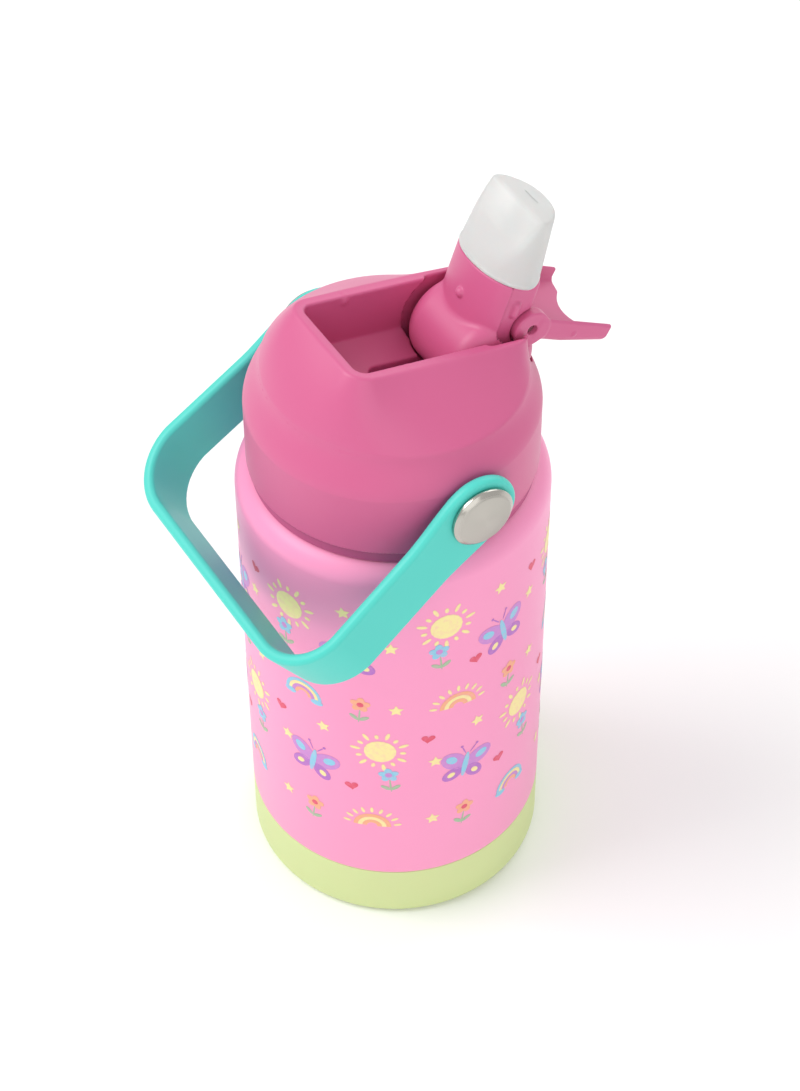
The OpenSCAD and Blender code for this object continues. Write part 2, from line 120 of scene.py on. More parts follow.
def plate(u: Array, v: Array, half: float, low: float, high: float, radius: float) -> Array:
    """Distance to a rectangle |u| < half, low < v < high with round corners."""
    return rounded(np.abs(u) - (half - radius), slab(v, low + radius, high - radius), radius)


def barrel(across: Array, spin: Array, half: float, reach: float, radius: float) -> Array:
    """Distance to a drum across the bottle with round ends; spin is the distance from its axis."""
    return rounded(np.abs(across) - (half - radius), spin - (reach - radius), radius)


def stretch(u: Array, v: Array, a: tuple, b: tuple) -> Array:
    """Distance to the straight line between two points of a plane."""
    du, dv = b[0] - a[0], b[1] - a[1]
    share = np.clip(((u - a[0]) * du + (v - a[1]) * dv) / (du * du + dv * dv), 0, 1)
    return np.hypot(u - a[0] - share * du, v - a[1] - share * dv)


@dataclass(frozen=True)
class Tilt:
    """A frame turned about X: origin on (y, z), leaning back by some degrees."""

    y: float
    z: float
    lean: float

    def local(self, p: Array) -> tuple[Array, Array, Array]:
        """Coordinates of points in this frame: across, back and up."""
        c, s = math.cos(math.radians(self.lean)), math.sin(math.radians(self.lean))
        y, z = p[:, 1] - self.y, p[:, 2] - self.z
        return p[:, 0], y * c - z * s, y * s + z * c

    def world(self, back: float, up: float) -> tuple[float, float]:
        """World (y, z) of a point given back and up in this frame."""
        c, s = math.cos(math.radians(self.lean)), math.sin(math.radians(self.lean))
        return self.y + back * c + up * s, self.z - back * s + up * c


# ---------------------------------------------------------------- meshing


def to_mesh(name: str, points: Array, faces: list | Array) -> Piece:
    """Makes an object from points in millimetres.

    Args:
        name: Name of the piece.
        points: Points, one row each, in millimetres.
        faces: Vertex numbers of each face.

    Returns:
        The new object at the origin, smooth shaded.
    """
    mesh = bpy.data.meshes.new(name)
    mesh.from_pydata((np.asarray(points) * MM).tolist(), [], [list(map(int, f)) for f in faces])
    mesh.validate()
    mesh.polygons.foreach_set("use_smooth", [True] * len(mesh.polygons))
    piece = bpy.data.objects.new(name, mesh)
    bpy.context.scene.collection.objects.link(piece)
    return piece


def gradient(shape: Field, p: Array, reach: float) -> Array:
    """Slope of a field at points, by central differences over the reach."""
    slopes = []
    for axis in range(3):
        shift = np.zeros(3)
        shift[axis] = reach
        slopes.append((shape(p + shift) - shape(p - shift)) / (2 * reach))
    return np.stack(slopes, 1)


CORNERS = [(a, b, c) for a in (0, 1) for b in (0, 1) for c in (0, 1)]


def net_cells(values: Array) -> tuple[Array, Array, Array]:
    """Finds the grid cells that a surface passes through.

    Args:
        values: Field values on a regular grid, negative inside.

    Returns:
        The cells, a grid of cell numbers with -1 elsewhere, and each cell's point inside it.
    """
    inside = values < 0
    n = np.array(values.shape) - 1
    count = sum(inside[a:a + n[0], b:b + n[1], c:c + n[2]].astype(np.int8) for a, b, c in CORNERS)
    mixed = (count > 0) & (count < 8)
    cells = np.argwhere(mixed)
    number = np.full(mixed.shape, -1, dtype=np.int64)
    number[mixed] = np.arange(len(cells))
    total = np.zeros((len(cells), 3))
    hits = np.zeros(len(cells))
    for start in CORNERS:
        for axis in range(3):
            if start[axis]:
                continue
            step = np.zeros(3, dtype=int)
            step[axis] = 1
            va = values[tuple((cells + start).T)]
            vb = values[tuple((cells + start + step).T)]
            cross = (va < 0) != (vb < 0)
            share = np.where(cross, va / np.where(cross, va - vb, 1), 0)
            total += cross[:, None] * (np.array(start) + share[:, None] * step)
            hits += cross
    return cells, number, total / hits[:, None]


def net_faces(values: Array, number: Array) -> Array:
    """Joins neighbouring cells with quads, one for each grid edge that the surface crosses."""
    inside = values < 0
    quads = []
    for axis in range(3):
        u, v = (axis + 1) % 3, (axis + 2) % 3
        head = [slice(1, -1)] * 3
        tail = [slice(1, -1)] * 3
        head[axis], tail[axis] = slice(None, -1), slice(1, None)
        first = inside[tuple(head)]
        at = np.argwhere(first != inside[tuple(tail)])
        leaving = first[tuple(at.T)]
        at[:, u] += 1
        at[:, v] += 1
        eu, ev = np.eye(3, dtype=int)[u], np.eye(3, dtype=int)[v]
        ring = np.stack([number[tuple((at - o).T)] for o in (0 * eu, eu, eu + ev, ev)], 1)
        quads.append(np.where(leaving[:, None], ring, ring[:, ::-1]))
    return np.concatenate(quads)


def skin(name: str, shape: Field, low: tuple, high: tuple, step: float) -> Piece:
    """Meshes the surface of a field with a net of quads.

    Args:
        name: Name of the piece.
        shape: Field in millimetres, negative inside.
        low: Low corner of the box to search.
        high: High corner of the box to search.
        step: Grid spacing in millimetres.

    Returns:
        The closed mesh object, with normals taken from the field.
    """
    axes = [np.arange(a - step * 0.37, b + 2 * step, step) for a, b in zip(low, high)]
    values = np.empty([len(a) for a in axes])
    flat = np.stack(np.meshgrid(axes[1], axes[2], indexing="ij"), -1).reshape(-1, 2)
    for i, x in enumerate(axes[0]):
        layer = shape(np.column_stack([np.full(len(flat), x), flat]))
        values[i] = layer.reshape(len(axes[1]), len(axes[2]))
    cells, number, share = net_cells(values)
    points = np.array([a[0] for a in axes]) + step * (cells + share)
    for _ in range(3):
        slope = gradient(shape, points, 0.04)
        steep = np.maximum((slope ** 2).sum(1), 0.04)
        move = -(shape(points) / steep)[:, None] * slope
        length = np.linalg.norm(move, axis=1)[:, None]
        points += move * np.minimum(1, 0.4 * step / np.maximum(length, 1e-9))
    piece = to_mesh(name, points, net_faces(values, number))
    slope = gradient(shape, points, 0.10)
    normals = slope / np.maximum(np.linalg.norm(slope, axis=1)[:, None], 1e-9)
    piece.data.normals_split_custom_set_from_vertices(normals.tolist())
    return piece


def bow(centre: tuple, radius: float, start: float, end: float, steps: int = 8) -> list[tuple]:
    """Points of an arc from one angle to another, in degrees."""
    angles = np.radians(np.linspace(start, end, steps + 1))
    return [(centre[0] + radius * math.cos(a), centre[1] + radius * math.sin(a)) for a in angles]


def turned(name: str, profile: list[tuple], axis: str = "Z", at: float = 0.0,
           segments: int = 192, side: int = 1) -> Piece:
    """Turns a closed outline of (radius, height) pairs into a solid ring or disc.

    Args:
        name: Name of the piece.
        profile: Outline, anticlockwise with the radius to the right and the height up.
        axis: "Z" for an upright axis, "X" for one across the bottle.
        at: Height of an axis across the bottle.
        segments: Steps round the axis.
        side: -1 mirrors a piece that turns round X to the other side.

    Returns:
        The closed mesh object, with its sharp edges marked.
    """
    outline = [profile[i] for i in range(len(profile)) if math.dist(profile[i], profile[i - 1]) > 1e-5]
    points, rings = [], []
    for r, h in outline:
        if r < 1e-6:
            rings.append([len(points)] * segments)
            points.append((0.0, 0.0, h))
            continue
        rings.append([len(points) + k for k in range(segments)])
        angles = [2 * math.pi * k / segments for k in range(segments)]
        points += [(r * math.cos(a), r * math.sin(a), h) for a in angles]
    faces = []
    for lower, upper in zip(rings, rings[1:] + rings[:1]):
        for k in range(segments):
            m = (k + 1) % segments
            corners = list(dict.fromkeys([lower[k], lower[m], upper[m], upper[k]]))
            if len(corners) > 2:
                faces.append(corners)
    xyz = np.array(points)
    if axis == "X":
        xyz = np.column_stack([side * xyz[:, 2], xyz[:, 1], at - side * xyz[:, 0]])
    piece = to_mesh(name, xyz, faces)
    piece.data.set_sharp_from_angle(angle=math.radians(40))
    return piece


def join(name: str, pieces: list[Piece]) -> Piece:
    """Joins mesh objects into the first one and renames it."""
    with bpy.context.temp_override(active_object=pieces[0], selected_editable_objects=pieces):
        bpy.ops.object.join()
    pieces[0].name = name
    pieces[0].data.name = name
    return pieces[0]


# ---------------------------------------------------------------- finishes


def linear(hex_colour: str, alpha: float = 1.0) -> tuple[float, float, float, float]:
    """Linear RGBA of an sRGB hex colour."""
    parts = [int(hex_colour[i:i + 2], 16) / 255 for i in (1, 3, 5)]
    r, g, b = (p / 12.92 if p <= 0.04045 else ((p + 0.055) / 1.055) ** 2.4 for p in parts)
    return r, g, b, alpha


def add(tree: Tree, kind: str, values: dict | None = None, **settings: object) -> Node:
    """Adds a node, sets its properties, and sets or links its inputs.

    Args:
        tree: The node tree.
        kind: Node type name.
        values: Input name or number to a value, or to an output socket that is linked in.
        **settings: Properties of the node itself.

    Returns:
        The new node.
    """
    node = tree.nodes.new(kind)
    for key, value in settings.items():
        setattr(node, key, value)
    for key, value in (values or {}).items():
        if isinstance(value, Socket):
            tree.links.new(value, node.inputs[key])
        else:
            node.inputs[key].default_value = value
    return node


def calc(tree: Tree, operation: str, *values: object) -> Socket:
    """Adds a maths node over numbers or sockets and gives its result."""
    return add(tree, "ShaderNodeMath", dict(enumerate(values)), operation=operation).outputs[0]


class Tone(Enum):
    """Colours of the bottle's parts."""

    PINK = "#F99AC4"
    RASPBERRY = "#D2618F"
    # Darker raspberry: painted shade for the ABS parts that lie in shade under the lid
    RASPBERRY_DARK = "#B9517F"
    LIME = "#D2DE9F"
    TEAL = "#4FD3C6"
    FROST = "#F3F4F2"
    # Dark plum: the pad's colour with painted shade of its recessed slot in it
    PLUM = "#7A4F70"
    STEEL = "#BDB9B1"
    WHITE = "#EDEDEA"
    FLOOR = "#FBFBFB"


@dataclass(frozen=True)
class Finish:
    """A moulded or coated surface: colour, gloss and a fine grain."""

    name: str
    tone: Tone
    roughness: float = 0.4
    ior: float = 1.5
    grain_mm: float = 0.5
    grain_depth_mm: float = 0.01
    mottle: float = 0.03
    gloss_spread: float = 0.06
    metallic: float = 0.0
    subsurface: float = 0.0
    transmission: float = 0.0

    def material(self) -> bpy.types.Material:
        """Builds the material."""
        material = bpy.data.materials.new(self.name)
        material.use_nodes = True
        tree = material.node_tree
        tree.nodes.clear()
        shader = add(tree, "ShaderNodeBsdfPrincipled", {
            "Metallic": self.metallic, "IOR": self.ior, "Transmission Weight": self.transmission,
            "Subsurface Weight": self.subsurface, "Subsurface Radius": (1.0, 0.55, 0.5),
            "Subsurface Scale": 1.5 * MM})
        place = add(tree, "ShaderNodeTexCoord").outputs["Object"]
        self.colour(tree, shader, place)
        self.surface(tree, shader, place)
        add(tree, "ShaderNodeOutputMaterial", {"Surface": shader.outputs["BSDF"]})
        return material

    def colour(self, tree: Tree, shader: Node, place: Socket) -> None:
        """Gives the base colour a slow drift between two near tones."""
        drift = add(tree, "ShaderNodeTexNoise", {"Vector": place, "Scale": 1 / (DRIFT * MM),
                                                 "Detail": 2.0})
        base = Vector(linear(self.tone.value))
        ramp = add(tree, "ShaderNodeValToRGB", {"Fac": drift.outputs["Fac"]})
        ramp.color_ramp.elements[0].color = [*(c * (1 - self.mottle) for c in base[:3]), 1.0]
        ramp.color_ramp.elements[1].color = [*(min(1, c * (1 + self.mottle)) for c in base[:3]), 1.0]
        tree.links.new(ramp.outputs["Color"], shader.inputs["Base Color"])

    def surface(self, tree: Tree, shader: Node, place: Socket) -> None:
        """Adds grain as bump and as a small change of gloss."""
        grain = add(tree, "ShaderNodeTexNoise", {"Vector": place, "Scale": 1 / (self.grain_mm * MM),
                                                 "Detail": 3.0, "Roughness": 0.6})
        gloss = add(tree, "ShaderNodeMapRange", {"Value": grain.outputs["Fac"],
                                                 "To Min": max(0.02, self.roughness - self.gloss_spread),
                                                 "To Max": self.roughness + self.gloss_spread})
        bump = add(tree, "ShaderNodeBump", {"Height": grain.outputs["Fac"], "Strength": 1.0,
                                            "Distance": self.grain_depth_mm * MM})
        tree.links.new(gloss.outputs["Result"], shader.inputs["Roughness"])
        tree.links.new(bump.outputs["Normal"], shader.inputs["Normal"])


@dataclass(frozen=True)
class SpunSteel(Finish):
    """Stainless steel faced on a lathe: fine rings round the rivet's axis."""

    axis_height: float = 141.7
    ring_mm: float = 0.45
    spun: float = 0.85
    polish: float = 0.14
    roll_in: float = 6.6
    roll_out: float = 6.9

    def surface(self, tree: Tree, shader: Node, place: Socket) -> None:
        """Adds the lathe's rings, fading where the face rolls over to its polished edge."""
        centred = add(tree, "ShaderNodeMapping", {"Vector": place,
                                                  "Location": (0, 0, -self.axis_height * MM),
                                                  "Scale": (0.0, 1.0, 1.0)})
        reach = add(tree, "ShaderNodeVectorMath", {0: centred.outputs["Vector"]}, operation="LENGTH")
        rings = calc(tree, "MULTIPLY", reach.outputs["Value"], 1 / (self.ring_mm * MM))
        rough = add(tree, "ShaderNodeTexNoise", {"W": rings, "Scale": 1.0, "Detail": 3.0,
                                                 "Roughness": 0.75}, noise_dimensions="1D")
        edge = add(tree, "ShaderNodeMapRange", {
            "Value": reach.outputs["Value"], "From Min": self.roll_in * MM,
            "From Max": self.roll_out * MM, "To Min": 1.0, "To Max": 0.0})
        height = calc(tree, "MULTIPLY", rough.outputs["Fac"], edge.outputs["Result"])
        bump = add(tree, "ShaderNodeBump", {"Height": height, "Strength": 1.0,
                                            "Distance": self.grain_depth_mm * MM})
        gloss = add(tree, "ShaderNodeMapRange", {"Value": edge.outputs["Result"], "To Min": self.polish,
                                                 "To Max": self.roughness})
        round_axis = add(tree, "ShaderNodeVectorMath", {
            0: centred.outputs["Vector"], 1: (1.0, 0.0, 0.0)}, operation="CROSS_PRODUCT")
        spin = add(tree, "ShaderNodeVectorMath", {0: round_axis.outputs["Vector"]},
                   operation="NORMALIZE")
        tree.links.new(spin.outputs["Vector"], shader.inputs["Tangent"])
        shader.inputs["Anisotropic"].default_value = self.spun
        tree.links.new(gloss.outputs["Result"], shader.inputs["Roughness"])
        tree.links.new(bump.outputs["Normal"], shader.inputs["Normal"])


@dataclass(frozen=True)
class ScreenInk(Finish):
    """Flat screen ink: the colour of each motif comes from its own attribute."""

    attribute: str = "ink"
    patch_mm: float = 1.2

    def colour(self, tree: Tree, shader: Node, place: Socket) -> None:
        """Reads the ink colour and thins it a little where the screen left it uneven."""
        ink = add(tree, "ShaderNodeAttribute", attribute_name=self.attribute)
        patch = add(tree, "ShaderNodeTexNoise", {"Vector": place, "Scale": 1 / (self.patch_mm * MM),
                                                 "Detail": 3.0})
        share = add(tree, "ShaderNodeMapRange", {"Value": patch.outputs["Fac"], "From Min": 0.45,
                                                 "From Max": 0.8, "To Max": 0.3})
        mix = add(tree, "ShaderNodeMix", {0: share.outputs["Result"], 6: ink.outputs["Color"],
                                          7: linear(self.tone.value)}, data_type="RGBA")
        tree.links.new(mix.outputs[2], shader.inputs["Base Color"])


@dataclass
class Palette:
    """All the bottle's materials, made once."""

    made: dict = field(default_factory=dict)

    def build(self, rivet_height: float) -> None:
        """Makes every finish.

        Args:
            rivet_height: Height of the rivets' axis in millimetres.
        """
        finishes = {
            # Stainless steel under polyester powder, sprayed and baked: satin with a soft orange peel
            "powder": Finish("powder_coat_pink", Tone.PINK, 0.38, 1.5, 0.7, 0.006, 0.015, 0.05),
            # ABS, injection moulded on a spark-eroded tool: satin with a fine even grain
            "abs": Finish("abs_raspberry", Tone.RASPBERRY, 0.40, 1.5, 0.35, 0.008, 0.02, 0.05,
                          subsurface=0.05),
            # The same ABS painted darker: painted shade for the parts that lie in the shade of the
            # trough and collar
            "abs_painted_shade": Finish("abs_raspberry_dark", Tone.RASPBERRY_DARK, 0.42, 1.5, 0.35, 0.008,
                               0.02, 0.05),
            # Silicone rubber, compression moulded: soft, dull and slightly see-through at its edges
            "boot": Finish("silicone_lime", Tone.LIME, 0.55, 1.42, 0.4, 0.006, 0.02, 0.05,
                           subsurface=0.12),
            # Platinum-cured silicone, moulded on a sand-blasted tool: frosted and see-through
            "frost": Finish("silicone_frosted", Tone.FROST, 0.48, 1.41, 0.3, 0.006, 0.01, 0.04,
                            subsurface=0.3, transmission=0.42),
            # Silicone rubber pad and seals in dark plum, a tone read from the slot in shade, so partly
            # painted shade
            "plum": Finish("silicone_plum", Tone.PLUM, 0.5, 1.42, 0.4, 0.006, 0.03, 0.05),
            # Thermoplastic elastomer strap, moulded on a blasted tool: matt to satin
            "strap": Finish("tpe_teal", Tone.TEAL, 0.42, 1.5, 0.35, 0.007, 0.02, 0.05, subsurface=0.08),
            # Stainless steel rivet head, faced on a lathe with a polished roll at its edge
            "spun": SpunSteel("stainless_spun", Tone.STEEL, 0.30, metallic=1.0, grain_depth_mm=0.03,
                              axis_height=rivet_height),
            # Stainless steel sheet, drawn and electropolished: grey with a slow ripple
            "steel": Finish("stainless_drawn", Tone.STEEL, 0.28, 1.5, 1.5, 0.004, 0.03, 0.08,
                            metallic=1.0),
            # Natural nylon and polypropylene, moulded: off-white satin
            "white": Finish("nylon_white", Tone.WHITE, 0.45, 1.53, 0.4, 0.006, 0.02, 0.05,
                            subsurface=0.1),
            # Polymer screen ink, printed on the powder coat and cured: flat colour, a little duller
            "ink": ScreenInk("screen_ink", Tone.PINK, 0.46, 1.5, 0.5, 0.004, 0.0, 0.04),
        }
        self.made = {key: finish.material() for key, finish in finishes.items()}

    def dress(self, piece: Piece, key: str) -> None:
        """Gives a mesh object one finish in all its slots."""
        if not piece.material_slots:
            piece.data.materials.append(self.made[key])
        for slot in piece.material_slots:
            slot.material = self.made[key]


# ---------------------------------------------------------------- places taken from the frame


@dataclass(frozen=True)
class Places:
    """Driving sizes and places in millimetres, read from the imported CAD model."""

    body_r: float
    boot_top: float
    neck_top: float
    neck_r: float
    lid_r: float
    skirt_z: float
    pivot_y: float
    pivot_z: float
    hinge_y: float
    hinge_z: float
    rivet_z: float
    rivet_r: float
    strap_out: float

    @classmethod
    def read(cls) -> "Places":
        """Measures the CAD nodes."""
        def low(node: str) -> Vector:
            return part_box(node)[0] / MM

        def high(node: str) -> Vector:
            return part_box(node)[1] / MM

        def middle(node: str) -> Vector:
            return (low(node) + high(node)) / 2

        return cls(
            body_r=high("outer_shell").x, boot_top=high("silicone_boot").z,
            neck_top=high("outer_shell").z, neck_r=27.8, lid_r=33.6, skirt_z=low("lid_shell").z,
            pivot_y=middle("spout_axles").y, pivot_z=middle("spout_axles").z,
            hinge_y=middle("cover_pins").y, hinge_z=middle("cover_pins").z,
            rivet_z=middle("handle_rivets").z, strap_out=high("handle_strap").x,
            rivet_r=(high("handle_rivets").z - low("handle_rivets").z) / 2)


# ---------------------------------------------------------------- steel body


@dataclass
class SteelBody:
    """Outer shell with its rounded shoulder and neck, and the silicone boot round its foot."""

    at: Places
    shoulder_r: float = 5.6
    steel_t: float = 0.6
    seat_z: float = 127.6
    boot_t: float = 1.8
    foot_gap: float = 1.5
    base_round: float = 2.6
    edge_round: float = 0.45

    def shell(self) -> Piece:
        """Drawn steel shell with its powder coat."""
        p, t = self.at, self.steel_t
        boot_r = p.body_r - self.boot_t
        curl = self.edge_round
        foot = self.foot_gap + self.base_round
        centre = (p.body_r - self.shoulder_r, self.seat_z - self.shoulder_r)
        outside = [(boot_r - t, foot), (boot_r, foot), (boot_r, p.boot_top)]
        outside += bow((p.body_r - curl, p.boot_top + curl), curl, -90, 0, 5)
        outside += bow(centre, self.shoulder_r, 0, 90, 16)
        outside += bow((p.neck_r + 0.8, self.seat_z + 0.8), 0.8, -90, -180, 5)
        outside += [(p.neck_r, p.neck_top), (p.neck_r - t, p.neck_top)]
        inside = [(p.neck_r - t, self.seat_z - t)] + bow(centre, self.shoulder_r - t, 90, 0, 16)
        inside += [(p.body_r - t, p.boot_top + 2), (boot_r - t, p.boot_top)]
        return turned("body_shell", outside + inside, segments=256)

    def boot(self) -> Piece:
        """Silicone boot, a hair proud of the steel above it, with a thin moulded lip."""
        p = self.at
        boot_r = p.body_r - self.boot_t
        curl = self.edge_round
        foot_r = boot_r - 5
        outline = [(foot_r, 0.6), (foot_r + 0.6, 0.0)]
        outline += bow((p.body_r - self.base_round, self.base_round), self.base_round, -90, 0, 10)
        outline += bow((p.body_r - curl, p.boot_top - curl), curl, 0, 90, 5)
        foot = self.foot_gap + self.base_round
        outline += [(boot_r, p.boot_top), (boot_r, foot), (boot_r - self.steel_t - 0.5, foot),
                    (foot_r, self.foot_gap)]
        return turned("boot", outline, segments=256)

    def build(self, palette: Palette) -> None:
        """Makes both pieces and hangs them on the bottle."""
        for piece, key, node, slot in ((self.shell(), "powder", "outer_shell", "pink_steel"),
                                       (self.boot(), "boot", "silicone_boot", "lime_silicone")):
            palette.dress(piece, key)
            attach(piece, "bottle")
            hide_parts(node)
            log.info("made %s", piece.name)


# ---------------------------------------------------------------- lid


@dataclass
class Lid:
    """Lid moulding: drafted skirt, dome, tilted rim, trough, drum pocket and back notch."""

    at: Places
    band_z: float = 147.5
    band_curve: float = 0.7
    crease_z: float = 156.8
    crease_r: float = 30.2
    crease_fall: float = 0.045
    crease_drift: float = -0.02
    rim_tilt: float = 12.0
    rim_over: float = 9.1
    rim_w: float = 2.4
    belly: float = 0.1
    wall: float = 2.0
    half: float = 12.5
    front: float = 38.9
    corner: float = 2.6
    floor_drop: float = 8.4
    floor_r: float = 18.7
    drum_r: float = 11.0
    drum_half: float = 12.0
    drum_round: float = 5.0
    slot_half: float = 6.0
    slot_front: float = -23.0
    slot_back: float = -3.0
    slot_low: float = -16.0
    slot_high: float = -4.5
    drum_gap: float = 0.4
    recess_r: float = 10.5
    recess_half: float = 13.4
    recess_back: float = 4.0
    catch_r: float = 1.5
    catch_in: float = 1.1
    catch_front: float = 27.2
    catch_up: float = 7.6
    inner_rise: float = 5.0

    @property
    def deck(self) -> Tilt:
        """The deck's frame, on the drum's axis."""
        return Tilt(self.at.pivot_y, self.at.pivot_z, self.rim_tilt)

    def outside(self, p: Array, across: Array, back: Array, up: Array) -> Array:
        """Skirt and dome, closed over by the rim plane."""
        y, z = p[:, 1], p[:, 2]
        r = np.hypot(p[:, 0], y)
        crease_z = self.crease_z - self.crease_fall * y
        crease_r = self.crease_r - self.crease_drift * y
        climb = np.clip((z - self.band_z) / (crease_z - self.band_z), 0, 1)
        climb += self.band_curve * (3 * climb ** 2 - 2 * climb ** 3 - climb)
        radius = self.at.lid_r - (self.at.lid_r - crease_r) * climb
        lean = math.radians(self.rim_tilt)
        drop = (y - self.at.pivot_y) * math.sin(lean)
        rim_z = self.at.pivot_z + (self.rim_over - drop) / math.cos(lean)
        rise = np.clip((z - crease_z) / np.maximum(rim_z - crease_z, 0.5), -0.3, 1.4)
        share = (1 - self.belly) * rise + self.belly * np.maximum(rise, 0) ** 2
        rim = plate(across, back, self.half + self.rim_w, -self.front - self.rim_w, 6,
                    self.corner + self.rim_w)
        dome = (1 - share) * (r - crease_r) + share * rim - 4 * np.maximum(crease_z - z - 0.5, 0)
        return soft_and(soft_and(r - radius, dome, 0.4), up - self.rim_over, 0.5)

    def hollows(self, p: Array, across: Array, back: Array, up: Array) -> Array:
        """Trough, drum pocket, ear recess and back notch, as one space."""
        walls = plate(across, back, self.half, -self.front, 3, self.corner)
        centre = self.floor_r - self.floor_drop
        floor = np.hypot(across, np.minimum(up - centre, 0)) - self.floor_r
        trough = soft_and(walls, floor, 0.3)
        spin = np.hypot(back, up)
        pocket = barrel(across, spin, self.drum_half, self.drum_r, self.drum_round) - self.drum_gap
        recess = soft_and(spin - self.recess_r, np.abs(across) - self.recess_half, 0.5)
        recess = soft_and(recess, back - self.recess_back, 0.5)
        notch = np.maximum(plate(across, p[:, 1], self.half, self.at.pivot_y, self.at.pivot_y + 60, 0.5),
                           self.at.pivot_z - 1 - p[:, 2])
        return np.minimum(np.minimum(trough, pocket), np.minimum(recess, notch))

    def field(self, p: Array) -> Array:
        """The whole lid moulding as a distance field."""
        across, back, up = self.deck.local(p)
        solid = soft_cut(self.outside(p, across, back, up), self.hollows(p, across, back, up), 0.6)
        catch = np.linalg.norm([np.abs(across) - self.half - self.catch_in, back + self.catch_front,
                                up - self.catch_up], axis=0) - self.catch_r
        solid = soft_or(solid, catch, 0.3)
        inner = np.maximum(solid + self.wall, p[:, 2] - self.band_z - self.inner_rise)
        shell = np.maximum(solid, -inner)
        slot = np.maximum(plate(across, back, self.slot_half, self.slot_front, self.slot_back, 2.5),
                          slab(up, self.slot_low, self.slot_high))
        shell = soft_cut(shell, slot, 0.4)
        return soft_and(shell, self.at.skirt_z - p[:, 2], 0.3)

    def build(self, palette: Palette) -> None:
        """Meshes the lid and hangs it on the lid body."""
        reach = self.at.lid_r + 1
        top = self.at.pivot_z + 25
        low = (-reach, -reach, self.at.skirt_z - 1)
        piece = skin("lid_moulding", self.field, low, (reach, reach, top), 0.5)
        palette.dress(piece, "abs")
        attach(piece, "lid")
        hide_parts("lid_shell")
        log.info("made %s with %d faces", piece.name, len(piece.data.polygons))


# ---------------------------------------------------------------- spout


